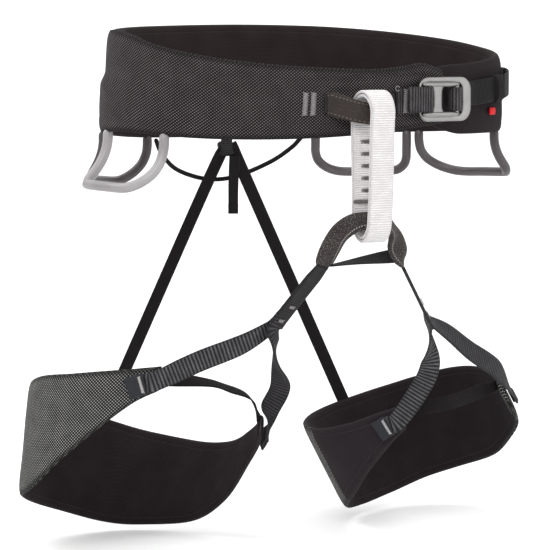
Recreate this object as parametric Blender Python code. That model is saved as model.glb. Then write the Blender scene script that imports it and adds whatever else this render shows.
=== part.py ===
"""Climbing harness, held open in its worn shape.

Frame: the origin is the middle of the waist opening, half way up the belt. +Z is up, the wearer
faces -Y, and the wearer's right hand side is -X. All sizes below are in millimetres; MM turns
them into metres where meshes are made.
"""
import math

import bmesh
import bpy
import numpy as np

MM = 0.001
GAP = 0.3                      # clearance between neighbouring solids
LAYER_GAP = 0.6                # clearance between the curved layers of a padded piece

# ---- driving dimensions -------------------------------------------------------------------------
WAIST_A = 150.0                # half width of the belt's outer ellipse
WAIST_B = 100.0                # half depth of the belt's outer ellipse
BELT_SKIN = 1.2
BELT_FOAM = 4.2
BELT_LINING = 1.0
BELT_TUCK = 9.5                # how far the left wing runs inside the right wing
BELT_STEP_DEG = 5.0

WEBBING_WIDE = 17.0            # waist webbing
WEBBING_LEG = 14.0             # leg webbing
WEBBING_THICK = 1.4
WEBBING_OUT = 1.3              # the waist webbing's middle line above the belt's outer face

LEG_SKIN = 1.0
LEG_FOAM = 2.6
LEG_LINING = 0.8
LEG_STEP_DEG = 7.0

GEAR_RADIUS = 3.3
CORD_RADIUS = 1.6

CENTRE_X = -17.5               # the belay loop hangs a little to the wearer's right of the middle

# Belt edges: angle on the ellipse, top edge, bottom edge, and how far the top edge leans in. The
# list runs from the left wing's tip, round the left hip and the back, to the right wing's tip.
BELT_EDGES = (
    (-84, 6.0, -22.0, 0.0), (-75, 9.5, -23.0, 0.0), (-66, 13.0, -29.0, 0.0),
    (-59, 14.2, -32.2, 0.0), (-54, 14.6, -32.8, 0.0), (-39, 17.0, -33.0, 0.5), (-20, 21.0, -33.2, 1.5), (0, 25.5, -33.8, 2.5),
    (18, 30.5, -34.6, 2.5), (38, 35.5, -35.8, 2.0), (55, 39.0, -37.0, 2.0),
    (72, 41.0, -38.0, 2.0), (94, 41.5, -38.0, 2.5), (124, 40.0, -37.0, 4.5),
    (153, 38.0, -33.0, 8.5), (172, 37.5, -30.2, 9.0), (188, 33.4, -29.4, 7.5),
    (202, 27.0, -30.8, 5.0), (219, 20.5, -32.8, 3.0), (234, 16.0, -33.5, 1.5),
    (247, 13.4, -33.2, 0.5), (257, 12.2, -32.2, 0.0), (267, 11.4, -30.6, 0.0),
    (276, 13.0, -28.4, 0.0), (283, 15.2, -26.4, 0.0), (290, 10.5, -24.6, 0.0),
)

# One leg loop each: centre and radius of the swath at height z0, how its centre moves sideways
# for each millimetre below z0, and its edge heights from one webbing tab to the other.
LEG_LOOPS = {
    "right": dict(
        centre=(-108.0, 28.0), radius=79.0, z0=-190.0, lean=(-0.09, 0.05),
        edges=((-32, -222.0, -237.0), (-22, -230.0, -250.0), (-7, -240.5, -271.0),
               (8, -247.5, -291.0), (28, -250.2, -307.0), (55, -245.5, -311.5),
               (77, -237.0, -309.0), (108, -221.0, -296.0), (145, -203.0, -280.0),
               (177, -191.5, -267.0), (203, -186.5, -241.0), (220, -183.6, -222.0),
               (237, -181.4, -204.0), (249, -180.0, -196.0))),
    "left": dict(
        centre=(104.0, 29.0), radius=80.0, z0=-240.0, lean=(0.44, -0.25),
        edges=((-36, -211.0, -228.0), (-25, -209.0, -241.0), (0, -207.0, -259.0),
               (22, -210.5, -276.0), (46, -218.7, -286.5), (67, -226.5, -294.5),
               (93, -234.5, -304.5), (120, -240.0, -309.0), (150, -243.0, -305.0),
               (180, -241.6, -290.0), (205, -234.6, -267.0), (226, -225.5, -246.0),
               (237, -221.0, -236.0))),
}

# Straps are lists of stations: a point on the strap's middle line and the direction of its width.
# The leg webbing hangs on the two ends of the lower tie-in bridge.
BRIDGE_END = {"right": (-45.0, -92.0, -118.5), "left": (13.0, -103.0, -118.5)}
SPLIT = {"right": (-63.5, -66.0, -156.5), "left": (57.0, -68.0, -160.0)}
LEG_WEBBING_WIDTH = {"right": (0.78, 0.45, -0.46), "left": (0.07, 0.75, 0.66)}

BRIDGE_ROUTE = (
    ((-43.5, -92.5, -117.5), (0.82, 0.36, -0.46)),
    ((-40.8, -99.0, -104.0), (0.72, -0.05, -0.60)),
    ((-38.2, -106.5, -93.6), (0.50, -0.35, -0.75)),
    ((-32.5, -112.0, -87.6), (0.20, -0.52, -0.78)),
    ((-25.5, -114.5, -85.6), (0.0, -0.64, -0.77)),
    ((-16.0, -114.5, -85.8), (0.0, -0.64, -0.77)),
    ((-8.0, -114.0, -87.4), (-0.15, -0.60, -0.78)),
    ((-1.5, -111.5, -92.5), (-0.30, -0.50, -0.80)),
    ((6.0, -106.0, -104.0), (-0.50, -0.40, -0.70)),
    ((13.0, -103.0, -118.0), (-0.10, -0.75, -0.66)),
)
RISER_HOOK = (-11.0, 93.0, -46.0)
HAUL_ENDS_DEG = (119.0, 70.5)

COLOURS = {
    "mesh": ((0.060, 0.058, 0.058), 0.9, 0.0),
    "lining": ((0.016, 0.014, 0.015), 0.8, 0.0),
    "foam": ((0.030, 0.030, 0.032), 0.9, 0.0),
    "webbing": ((0.030, 0.029, 0.031), 0.7, 0.0),
    "protector": ((0.050, 0.042, 0.036), 0.65, 0.0),
    "belay_webbing": ((0.78, 0.76, 0.75), 0.75, 0.0),
    "thread": ((0.35, 0.33, 0.34), 0.7, 0.0),
    "elastic": ((0.014, 0.013, 0.014), 0.85, 0.0),
    "gear_plastic": ((0.26, 0.24, 0.24), 0.45, 0.0),
    "aluminium": ((0.52, 0.51, 0.50), 0.3, 1.0),
    "hook_plastic": ((0.02, 0.02, 0.02), 0.5, 0.0),
    "tag": ((0.62, 0.02, 0.03), 0.6, 0.0),
    "slate_patch": ((0.045, 0.048, 0.055), 0.6, 0.0),
}


# ---- general helpers ----------------------------------------------------------------------------
def clear_scene():
    for obj in list(bpy.data.objects):
        bpy.data.objects.remove(obj, do_unlink=True)


def material(name):
    found = bpy.data.materials.get(name)
    if found:
        return found
    colour, roughness, metallic = COLOURS[name]
    made = bpy.data.materials.new(name)
    made.use_nodes = True
    shader = made.node_tree.nodes["Principled BSDF"]
    shader.inputs["Base Color"].default_value = (*colour, 1.0)
    shader.inputs["Roughness"].default_value = roughness
    shader.inputs["Metallic"].default_value = metallic
    return made


def unit(vector):
    vector = np.asarray(vector, float)
    return vector / np.linalg.norm(vector)


def add_solid(name, slot, vertices, faces, location=(0.0, 0.0, 0.0)):
    """Make one object of a closed body; vertices are in millimetres, in world directions."""
    mesh = bpy.data.meshes.new(name)
    place = np.asarray(location, float)
    mesh.from_pydata([tuple((np.asarray(v) - place) * MM) for v in vertices], [], faces)
    build = bmesh.new()
    build.from_mesh(mesh)
    bmesh.ops.recalc_face_normals(build, faces=build.faces)
    build.to_mesh(mesh)
    build.free()
    mesh.shade_smooth()
    mesh.set_sharp_from_angle(angle=math.radians(35))
    mesh.materials.append(material(slot))
    obj = bpy.data.objects.new(name, mesh)
    obj.location = place * MM
    bpy.context.collection.objects.link(obj)
    return obj


def loft(name, slot, rings, location=(0.0, 0.0, 0.0), closed=False):
    """Skin equal rings of points into one body, capped at both ends unless it closes on itself."""
    count = len(rings[0])
    vertices = [tuple(p) for ring in rings for p in ring]
    faces = []
    spans = len(rings) if closed else len(rings) - 1
    for i in range(spans):
        here = i * count
        there = ((i + 1) % len(rings)) * count
        for j in range(count):
            k = (j + 1) % count
            faces.append((here + j, here + k, there + k, there + j))
    if not closed:
        faces.append(tuple(range(count)))
        faces.append(tuple(range((len(rings) - 1) * count, len(rings) * count)))
    return add_solid(name, slot, vertices, faces, location)


def smooth_route(points, count):
    """Points at equal spacing along a Catmull-Rom curve through the given points."""
    points = np.asarray(points, float)
    if len(points) == 2:
        return points[0] + np.linspace(0, 1, count)[:, None] * (points[1] - points[0])
    padded = np.vstack([2 * points[0] - points[1], points, 2 * points[-1] - points[-2]])
    fine = []
    for i in range(len(points) - 1):
        a, b, c, d = padded[i:i + 4]
        for s in np.linspace(0, 1, 24, endpoint=False):
            fine.append(0.5 * (2 * b + (c - a) * s + (2 * a - 5 * b + 4 * c - d) * s * s
                               + (3 * b - a - 3 * c + d) * s ** 3))
    fine.append(points[-1])
    fine = np.array(fine)
    run = np.concatenate([[0], np.cumsum(np.linalg.norm(np.diff(fine[:, :3], axis=0), axis=1))])
    even = np.linspace(0, run[-1], count)
    return np.stack([np.interp(even, run, fine[:, k]) for k in range(fine.shape[1])], axis=1)


def strap_frames(stations, count):
    """Centre, width direction and face normal along a strap."""
    rows = [tuple(point) + tuple(unit(width)) for point, width in stations]
    route = smooth_route(rows, count)
    centres = route[:, :3]
    runs = np.gradient(centres, axis=0)
    frames = []
    for centre, run, width in zip(centres, runs, route[:, 3:]):
        run = unit(run)
        width = unit(width - np.dot(width, run) * run)
        frames.append((centre, width, np.cross(run, width)))
    return frames


def strap_section(frame, width, thick, lift=0.0):
    centre, across, normal = frame
    centre = centre + lift * normal
    half, deep = across * width / 2, normal * thick / 2
    return [centre + half + deep, centre - half + deep, centre - half - deep, centre + half - deep]


def strap(name, slot, stations, width, thick, count, location=(0.0, 0.0, 0.0)):
    frames = strap_frames(stations, count)
    return loft(name, slot, [strap_section(f, width, thick) for f in frames], location)


def sleeve(name, slot, frames, width, thick, wall, location=(0.0, 0.0, 0.0)):
    """Open-ended sleeve round a strap of the given width and thickness."""
    outer = [strap_section(f, width + 2 * wall, thick + 2 * wall) for f in frames]
    inner = [strap_section(f, width, thick) for f in frames]
    count = len(outer[0])
    vertices = [tuple(p) for ring in outer + inner for p in ring]
    shift = len(outer) * count
    faces = []
    for i in range(len(outer) - 1):
        for j in range(count):
            k = (j + 1) % count
            a, b = i * count, (i + 1) * count
            faces.append((a + j, a + k, b + k, b + j))
            faces.append((shift + a + k, shift + a + j, shift + b + j, shift + b + k))
    for a in (0, (len(outer) - 1) * count):
        for j in range(count):
            k = (j + 1) % count
            faces.append((a + j, a + k, shift + a + k, shift + a + j))
    return add_solid(name, slot, vertices, faces, location)


# Rings of a rod's domed end: how far out each lies and how wide it is, as shares of the radius.
DOME = ((1.0, 0.25), (0.70, 0.72))


def rod(name, slot, route, radius, sides=8, location=(0.0, 0.0, 0.0)):
    """Round bar along a route, with domed ends."""
    route = np.asarray(route, float)
    runs = np.gradient(route, axis=0)
    side = unit(np.cross(runs[0], (0.3, 0.2, 1.0)))
    rings = []
    last = len(route) - 1
    for i, (centre, run) in enumerate(zip(route, runs)):
        run = unit(run)
        side = unit(side - np.dot(side, run) * run)
        other = np.cross(run, side)
        turns = [2 * math.pi * j / sides for j in range(sides)]
        circle = np.array([math.cos(a) * side + math.sin(a) * other for a in turns])
        if i == 0:
            rings += [centre - run * radius * f + circle * radius * g for f, g in DOME]
        rings.append(centre + circle * radius)
        if i == last:
            rings += [centre + run * radius * f + circle * radius * g for f, g in DOME[::-1]]
    return loft(name, slot, rings, location)


def box(name, slot, centre, axes, size, location=(0.0, 0.0, 0.0)):
    centre = np.asarray(centre, float)
    along, across, up = (unit(a) for a in axes)
    ends = []
    for s in (-0.5, 0.5):
        ends.append([centre + s * size[0] * along + j * size[1] * across + k * size[2] * up
                     for j, k in ((-0.5, -0.5), (0.5, -0.5), (0.5, 0.5), (-0.5, 0.5))])
    return loft(name, slot, ends, location)


# ---- waist belt ---------------------------------------------------------------------------------
def ease(value):
    value = min(max(value, 0.0), 1.0)
    return value * value * (3 - 2 * value)


def tuck(angle):
    """Inward offset of the left wing where it runs inside the right wing."""
    return -BELT_TUCK * ease((-5.0 - angle) / 55.0)


def waist_point(angle, out, z):
    """Point at an offset outside the belt's outer ellipse."""
    turn = math.radians(angle)
    normal = unit((math.cos(turn) / WAIST_A, math.sin(turn) / WAIST_B, 0))
    return np.array((WAIST_A * math.cos(turn), WAIST_B * math.sin(turn), z)) + out * normal


def waist_axes(angle):
    """Directions along the belt (towards the wearer's left in front), up, and outward."""
    turn = math.radians(angle)
    outward = unit((math.cos(turn) / WAIST_A, math.sin(turn) / WAIST_B, 0))
    up = np.array((0.0, 0.0, 1.0))
    return np.cross(up, outward), up, outward


def belt_edge(angle, column):
    table = smooth_route(BELT_EDGES, 400)
    return float(np.interp(angle, table[:, 0], table[:, column]))


def belt_offset(angle, z):
    """Offset of the belt's outer face: the left wing tucks in, and the top edge leans in."""
    top, bottom = belt_edge(angle, 1), belt_edge(angle, 2)
    height = min(max((z - bottom) / (top - bottom), 0.0), 1.0)
    return tuck(angle) - belt_edge(angle, 3) * height


def belt_angles():
    first, last = BELT_EDGES[0][0], BELT_EDGES[-1][0]
    count = round((last - first) / BELT_STEP_DEG)
    return np.linspace(first, last, count + 1)


def belt_layer(name, slot, section):
    """Sweep a section round the belt; the section gives offset and height points per station."""
    rings = []
    for angle in belt_angles():
        points = section(belt_edge(angle, 1), belt_edge(angle, 2))
        rings.append([waist_point(angle, belt_offset(angle, z) + out, z) for out, z in points])
    return loft(name, slot, rings)


def padded_sections(skin, foam, lining, hem):
    """Sections of a skin that wraps a foam's edges, the foam inside it, and a lining behind."""
    deep = skin + LAYER_GAP + foam
    front = skin + LAYER_GAP

    def shell_section(top, bottom):
        return ((0, top), (0, bottom), (-deep, bottom), (-deep, bottom + skin),
                (-skin, bottom + skin), (-skin, top - skin), (-deep, top - skin), (-deep, top))

    def foam_section(top, bottom):
        low, high = bottom + front, top - front
        return ((-front, high), (-front, low), (-deep, low), (-deep, high))

    def lining_section(top, bottom):
        low, high = bottom + hem, top - hem
        near, far = -deep - LAYER_GAP, -deep - LAYER_GAP - lining
        return ((near, high), (near, low), (far, low), (far, high))

    return shell_section, foam_section, lining_section


def make_belt():
    shell, foam, lining = padded_sections(BELT_SKIN, BELT_FOAM, BELT_LINING, 0.8)
    belt_layer("belt_shell", "mesh", shell)
    belt_layer("belt_foam", "foam", foam)
    belt_layer("belt_lining", "lining", lining)


def surface_strap(angles, heights, outs):
    """Stations of a strap that lies on the belt, one for each angle, height and offset."""
    return [(waist_point(a, out, z), (0, 0, 1)) for a, z, out in zip(angles, heights, outs)]


def ridged_patch(name, centre, axes, length, width, ridges, location=(0.0, 0.0, 0.0)):
    """Sewn patch: a thin base with raised rows of stitching across it. Axes are along the row
    of ridges, along each ridge, and outward."""
    along, across, outward = axes
    base, ridge = 0.35, 0.9
    pitch = length / ridges
    profile = []
    for i in range(ridges):
        low, high = -length / 2 + pitch * (i + 0.22), -length / 2 + pitch * (i + 0.78)
        profile += [(low, base), (low, ridge), (high, ridge), (high, base)]
    profile += [(length / 2, base), (length / 2, 0.0), (-length / 2, 0.0), (-length / 2, base)]
    centre = np.asarray(centre, float)
    rings = [[centre + a * along + b * outward + side * width / 2 * across for a, b in profile]
             for side in (-1, 1)]
    return loft(name, "thread", rings, location)


def make_bar_tacks():
    pair_wide, rows = 8.5, 2
    for side, angle, z, height in (("right", -110.8, -10.8, 14.5), ("left", -84.3, -9.5, 15.0)):
        along, up, outward = waist_axes(angle)
        out = GAP if side == "right" else WEBBING_OUT + WEBBING_THICK / 2 + GAP
        ridged_patch("belt_tacks_" + side, waist_point(angle, out, z), (along, up, outward),
                     pair_wide, height, rows)


TIE_IN_ROUTE = (
    (waist_point(-107.0, 1.3, -10.8), (0.0, 0.0, 1.0)),
    (waist_point(-105.0, 1.5, -10.9), (0.0, 0.0, 1.0)),
    ((-36.0, -101.5, -12.2), (0.0, 0.1, 1.0)),
    ((-27.0, -111.2, -15.6), (0.0, 0.0, 1.0)),
    ((CENTRE_X, -114.6, -17.0), (0.0, 0.0, 1.0)),
    ((-8.0, -111.8, -15.8), (0.0, 0.0, 1.0)),
    ((2.0, -103.4, -12.0), (0.0, 0.0, 1.0)),
    (waist_point(-88.8, 1.5, -10.4), (0.0, 0.0, 1.0)),
    (waist_point(-87.6, 1.3, -10.3), (0.0, 0.0, 1.0)),
)


def make_upper_tie_in():
    frames = strap_frames(TIE_IN_ROUTE, 23)
    core_width, core_thick, wall = 11.0, 1.6, 1.1
    core = [strap_section(f, core_width, core_thick) for f in frames]
    loft("upper_tie_in_core", "webbing", core)
    sleeve("upper_tie_in_protector", "protector", frames[3:-3], core_width + 2 * GAP,
           core_thick + 2 * GAP, wall)


# ---- buckle -------------------------------------------------------------------------------------
BUCKLE_ANGLE = -73.0
BUCKLE_Z = -8.5
PIN_ALONG = -15.5              # the inner frame's round bar, which its webbing goes round
PIN_OUT = 7.6
PIN_RADIUS = 1.3
MIDDLE_BAR, END_BAR = -7.6, 10.2
TURN_SHIFT = END_BAR - 15.2    # the strap goes round the end bar


def buckle_point(along, up, out):
    u, v, w = waist_axes(BUCKLE_ANGLE)
    return waist_point(BUCKLE_ANGLE, 0, BUCKLE_Z) + along * u + up * v + out * w


def rounded_outline(width, height, radius, centre=(0.0, 0.0), arc=4):
    """Corner points of a rounded rectangle, counter-clockwise from the lower right corner."""
    points = []
    for sx, sy, start in ((1, -1, -90), (1, 1, 0), (-1, 1, 90), (-1, -1, 180)):
        cx = centre[0] + sx * (width / 2 - radius)
        cy = centre[1] + sy * (height / 2 - radius)
        for i in range(arc + 1):
            turn = math.radians(start + 90 * i / arc)
            points.append((cx + radius * math.cos(turn), cy + radius * math.sin(turn)))
    return points


def ring_plate(name, slot, outer, inner, out_low, out_high, location):
    """Flat ring between two outlines with equal point counts, in the buckle's plane."""
    count = len(outer)
    vertices = []
    for outline, level in ((outer, out_low), (outer, out_high), (inner, out_high),
                           (inner, out_low)):
        vertices += [buckle_point(a, b, level) for a, b in outline]
    faces = []
    for band in range(4):
        start, after = band * count, ((band + 1) % 4) * count
        for j in range(count):
            k = (j + 1) % count
            faces.append((start + j, start + k, after + k, after + j))
    return add_solid(name, slot, vertices, faces, location)


def make_buckle():
    pivot = buckle_point(PIN_ALONG, 0, PIN_OUT)
    outer = rounded_outline(48.0, 29.0, 9.0, (1.5, 0.0))
    hole = rounded_outline(35.0, 22.0, 4.5)
    ring_plate("buckle_frame", "aluminium", outer, hole, 3.6, 5.8, (0, 0, 0))

    low, high = 6.4, 8.8
    rails = []
    for side in (-1, 1):
        first, last = PIN_ALONG - 2.0, END_BAR + 2.4
        rails.append([(first, side * 9.2), (last, side * 9.2), (last, side * 12.5),
                      (first, side * 12.5)])
    add_ladder("buckle_slider", rails, low, high, pivot)


def add_ladder(name, rails, low, high, pivot):
    """The inner frame: two rails, a flat middle bar, a flat end bar and a round pin, in one."""
    bar_long, bar_thick, bar_out = 20.0, 1.8, 7.5
    u, v, w = waist_axes(BUCKLE_ANGLE)
    build = []
    for rail in rails:
        rings = [[buckle_point(a, b, level) for a, b in rail] for level in (low, high)]
        build.append(loft("rail", "aluminium", rings, pivot))
    for along, wide in ((MIDDLE_BAR, 8.0), (END_BAR, 3.6)):
        build.append(box("bar", "aluminium", buckle_point(along, 0, bar_out), (u, v, w),
                         (wide, bar_long, bar_thick), pivot))
    pin = [buckle_point(PIN_ALONG, b, PIN_OUT) for b in np.linspace(-0.5, 0.5, 3) * bar_long]
    rings = [[p + PIN_RADIUS * (math.cos(t) * u + math.sin(t) * w)
              for t in np.linspace(0, 2 * math.pi, 8, endpoint=False)] for p in pin]
    build.append(loft("pin", "aluminium", rings, pivot))
    base = build[0]
    for piece in build[1:]:
        union = base.modifiers.new("union", "BOOLEAN")
        union.operation = "UNION"
        union.solver = "EXACT"
        union.object = piece
        piece.hide_render = True
        piece.display_type = "WIRE"
    base.name = name
    base.data.name = name


def buckle_route(points):
    """Stations of a strap that goes through the buckle, one for each distance along and out."""
    return [(buckle_point(along, 0, out), (0, 0, 1)) for along, out in points]


def make_waist_webbing():
    """Webbing from the right wing's bar tacks over the frame and round the inner frame's pin."""
    stations = surface_strap((-86.9, -84.0, -81.2), (-9.8, -9.6, -9.3),
                             (WEBBING_OUT, WEBBING_OUT, WEBBING_OUT + 0.8))
    reach = PIN_RADIUS + GAP + WEBBING_THICK / 2
    turn_points = [(PIN_ALONG + reach * math.sin(math.radians(a)),
                    PIN_OUT + reach * math.cos(math.radians(a))) for a in (-20, 20, 60, 100, 140)]
    stations += buckle_route([(-30.5, 4.8), (-24.5, 7.7), *turn_points])
    strap("waist_webbing", "webbing", stations, WEBBING_WIDE, WEBBING_THICK, 26)


def make_waist_strap():
    """Adjustment strap: lower and upper layers on the left wing, and the turn round the bar."""
    thick = 1.2
    keeper_wide, keeper_high, keeper_wall = 17.6, 5.8, 0.9
    lower = buckle_route([(22.8 + TURN_SHIFT, 0.6)]) + surface_strap(
        (-56.0, -46.0, -38.0), (-6.0, -4.2, -2.6), (-7.6, -5.0, -3.2))
    strap("waist_strap_lower", "webbing", lower, WEBBING_WIDE - 0.6, thick, 9)
    upper = buckle_route([(22.8 + TURN_SHIFT, 2.3)]) + surface_strap(
        (-56.0, -46.0, -36.0), (-5.6, -3.6, -1.6), (-5.7, -3.2, 0.2))
    strap("waist_strap_upper", "webbing", upper, WEBBING_WIDE - 0.4, thick, 10)
    turn = [(21.2, 2.3), (19.1, 4.0), (18.6, 8.2), (15.2, 9.8), (12.0, 8.2), (11.8, 5.0),
            (14.0, 1.6), (21.2, 0.7)]
    turn = [(along + TURN_SHIFT, out) for along, out in turn]
    strap("waist_strap_turn", "webbing", buckle_route(turn), WEBBING_WIDE - 0.6, thick, 24,
          buckle_point(PIN_ALONG, 0, PIN_OUT))
    tail_pivot = waist_point(-35.0, 0.6, 0)
    tail = surface_strap((-34.6, -26.0, -16.0, -8.0), (-1.2, 0.6, 2.2, 3.2), (0.6, 3.0, 5.2, 6.4))
    strap("waist_strap_tail", "webbing", tail, WEBBING_WIDE - 0.4, thick, 9, tail_pivot)
    frames = strap_frames(surface_strap((-42.5, -38.0), (-2.9, -2.1), (-2.4, -1.3)), 3)
    sleeve("strap_keeper", "elastic", frames, keeper_wide, keeper_high, keeper_wall)


def make_size_tag():
    size = (7.0, 0.8, 4.6)
    along, up, outward = waist_axes(-42.5)
    centre = waist_point(-42.5, tuck(-42.5) + GAP + 0.5, -18.0)
    box("size_tag", "tag", centre, (along, outward, up), size)


# ---- gear loops and haul cord -------------------------------------------------------------------
# Each loop: angle of the end with the long sweep, angle of the end with the tight corner, the
# sweep's run and drop, the tight corner's radius, how far that corner reaches past its end, the
# outward flare and the whole drop.
GEAR_LOOPS = {
    "right_front": (206.5, 174.0, (17.0, 16.0), 4.5, 2.0, 19.0, 30.0),
    "right_rear": (123.0, 160.0, (24.0, 20.0), 8.0, 0.0, 12.0, 27.0),
    "left_front": (32.0, -10.0, (27.0, 16.0), 6.0, 0.0, 18.0, 25.5),
    "left_rear": (66.0, 36.5, (24.0, 16.0), 9.0, 0.0, 8.0, 24.0),
}
GEAR_INSET = 3.6               # the loops' ends sit under the middle of the belt's thickness


def under_belt(angle, radius):
    """Point just under the belt's bottom edge where a round end of this radius fits."""
    return waist_point(angle, tuck(angle) - GEAR_INSET, belt_edge(angle, 2) - radius - 0.4)


def gear_route(sweep_end, tight_end, sweep, tight, reach, flare, drop):
    """U-shaped route between two belt angles, flared outwards towards its lowest part."""
    start, end = under_belt(sweep_end, GEAR_RADIUS), under_belt(tight_end, GEAR_RADIUS)
    along = unit((end - start) * (1, 1, 0))
    outward = unit(np.cross(along, (0, 0, 1)))
    middle = (start + end) / 2
    if np.dot(outward, middle) < 0:
        outward = -outward
    span = float(np.dot(end - start, along))
    sweep_run, sweep_drop = sweep
    flat = [(0.0, 0.0), (0.0, (drop - sweep_drop) * 0.6)]
    for turn in np.linspace(0, math.pi / 2, 5):
        flat.append((sweep_run * (1 - math.cos(turn)), drop - sweep_drop * (1 - math.sin(turn))))
    flat.append((span * 0.6, drop))
    for turn in np.linspace(math.pi / 2, 0, 4):
        flat.append((span + reach - tight * (1 - math.cos(turn)),
                     drop - tight + tight * math.sin(turn)))
    flat += [(span + reach * 0.5, (drop - tight) * 0.6), (span, 0.0)]
    route = []
    for run, down in smooth_route(np.array([(a, b, 0.0) for a, b in flat]), 23)[:, :2]:
        height = start[2] + (end[2] - start[2]) * min(max(run / span, 0), 1)
        bow = 3.0 * math.sin(math.pi * min(max(run / span, 0), 1))
        out = flare * (down / drop) ** 2 + bow
        route.append(start * (1, 1, 0) + along * run + outward * out + (0, 0, height - down))
    return np.array(route)


def make_gear_loops():
    for name, shape in GEAR_LOOPS.items():
        route = gear_route(*shape)
        rod("gear_loop_" + name, "gear_plastic", route, GEAR_RADIUS, 8, route[0])


def make_haul_cord():
    start, end = (under_belt(a, CORD_RADIUS) for a in HAUL_ENDS_DEG)
    points = [start, start + (7.0, 5.0, -9.5), start + (21.0, 11.0, -20.5),
              start + (42.0, 15.0, -27.5), start + (60.0, 15.5, -29.0), end + (-40.0, 14.0, -25.5),
              end + (-19.0, 9.0, -16.5), end + (-6.0, 3.5, -7.0), end]
    rod("haul_cord", "elastic", smooth_route(points, 33), CORD_RADIUS, 8, start)


# ---- belay loop ---------------------------------------------------------------------------------
BELAY_TOP, BELAY_BOTTOM = -1.7, -99.6
BELAY_FRONT, BELAY_BACK = -128.8, -100.2
BELAY_WRAP = 2.0
BELAY_WIDE = 18.5


def belay_frames(inset):
    """Rings of the racetrack at an inset from its outer face."""
    half = (BELAY_BACK - BELAY_FRONT) / 2
    middle = (BELAY_BACK + BELAY_FRONT) / 2
    high, low = BELAY_TOP - half, BELAY_BOTTOM + half
    turns = [(high, a) for a in np.linspace(0, 180, 9)] + [(low, a) for a in np.linspace(180, 360, 9)]
    radius = half - inset
    return [(CENTRE_X, middle + radius * math.cos(math.radians(a)),
             z + radius * math.sin(math.radians(a))) for z, a in turns]


def belay_wrap(name, slot, outer_inset, inner_inset, location):
    outer, inner = belay_frames(outer_inset), belay_frames(inner_inset)
    half = np.array((BELAY_WIDE / 2, 0, 0))
    rings = [[o + half, o - half, i - half, i + half]
             for o, i in zip(np.array(outer), np.array(inner))]
    return loft(name, slot, rings, location, closed=True)


def make_belay_loop():
    pivot = (CENTRE_X, TIE_IN_ROUTE[4][0][1], TIE_IN_ROUTE[4][0][2])
    belay_wrap("belay_loop_outer", "belay_webbing", 0.0, BELAY_WRAP, pivot)
    belay_wrap("belay_loop_inner", "belay_webbing", BELAY_WRAP + GAP, 2 * BELAY_WRAP + GAP, pivot)
    inner_face = BELAY_BACK - 2 * BELAY_WRAP - 2 * GAP
    ridged_patch("belay_loop_tacks", (CENTRE_X + 1.0, inner_face, -52.0),
                 (np.array((0, 0, 1.0)), np.array((1.0, 0, 0)), np.array((0, -1.0, 0))),
                 length=44.0, width=11.0, ridges=5, location=pivot)


# ---- leg loops ----------------------------------------------------------------------------------
def make_bridge():
    """Lower tie-in: a webbing arch through the belay loop, its sleeve, and the cross strap."""
    frames = strap_frames(BRIDGE_ROUTE, 25)
    width, thick, wall, clear = 9.4, 1.0, 0.9, 1.0
    loft("lower_tie_in_core", "webbing", [strap_section(f, width, thick) for f in frames])
    sleeve("lower_tie_in_protector", "protector", frames[1:-1], width + 2 * clear,
           thick + 2 * clear, wall)
    cross = (((-35.2, -94.5, -114.7), (0.30, 0.95, 0.0)), ((-17.0, -98.0, -112.5), (0.1, 0.8, 0.5)),
             ((2.5, -102.5, -110.5), (0.0, 0.45, 0.9)))
    strap("cross_strap", "webbing", cross, width=9.0, thick=1.2, count=8)


def leg_point(side, angle, out, z):
    loop = LEG_LOOPS[side]
    drop = loop["z0"] - z
    turn = math.radians(angle)
    reach = loop["radius"] + out
    return np.array((loop["centre"][0] + loop["lean"][0] * drop + reach * math.cos(turn),
                     loop["centre"][1] + loop["lean"][1] * drop + reach * math.sin(turn), z))


def leg_angles(side):
    edges = LEG_LOOPS[side]["edges"]
    count = round((edges[-1][0] - edges[0][0]) / LEG_STEP_DEG)
    return np.linspace(edges[0][0], edges[-1][0], count + 1)


def leg_edge(side, angle, column):
    table = smooth_route(LEG_LOOPS[side]["edges"], 300)
    return float(np.interp(angle, table[:, 0], table[:, column]))


def leg_layer(name, slot, side, section):
    rings = []
    for angle in leg_angles(side):
        points = section(leg_edge(side, angle, 1), leg_edge(side, angle, 2))
        rings.append([leg_point(side, angle, out, z) for out, z in points])
    return loft(name, slot, rings, BRIDGE_END[side])


def make_swath(side):
    shell, foam, lining = padded_sections(LEG_SKIN, LEG_FOAM, LEG_LINING, 0.7)
    leg_layer("leg_shell_" + side, "mesh", side, shell)
    leg_layer("leg_foam_" + side, "foam", side, foam)
    leg_layer("leg_lining_" + side, "lining", side, lining)


def ruling(side):
    """Direction up the swath's wall, which leans."""
    lean = LEG_LOOPS[side]["lean"]
    return unit((-lean[0], -lean[1], 1.0))


def tab_heights(side, angle):
    return (leg_edge(side, angle, 1) + leg_edge(side, angle, 2)) / 2


def make_tab(name, side, first, last):
    """Sewn patch over the end of a branch, on the outside of the swath."""
    out = BRANCH_OUT + WEBBING_THICK / 2 + GAP + TAB_LIFT
    stations = [(leg_point(side, a, out, tab_heights(side, a)), ruling(side))
                for a in np.linspace(first, last, 3)]
    strap(name, "slate_patch", stations, TAB_WIDE, TAB_THICK, 4, BRIDGE_END[side])


BRANCH_OUT = 1.3               # the sewn ends' middle line above the swath's outer face
TAB_WIDE, TAB_THICK = 16.5, 1.0
TAB_LIFT = 1.3                 # the tabs' middle line above the branches' sewn ends

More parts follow.
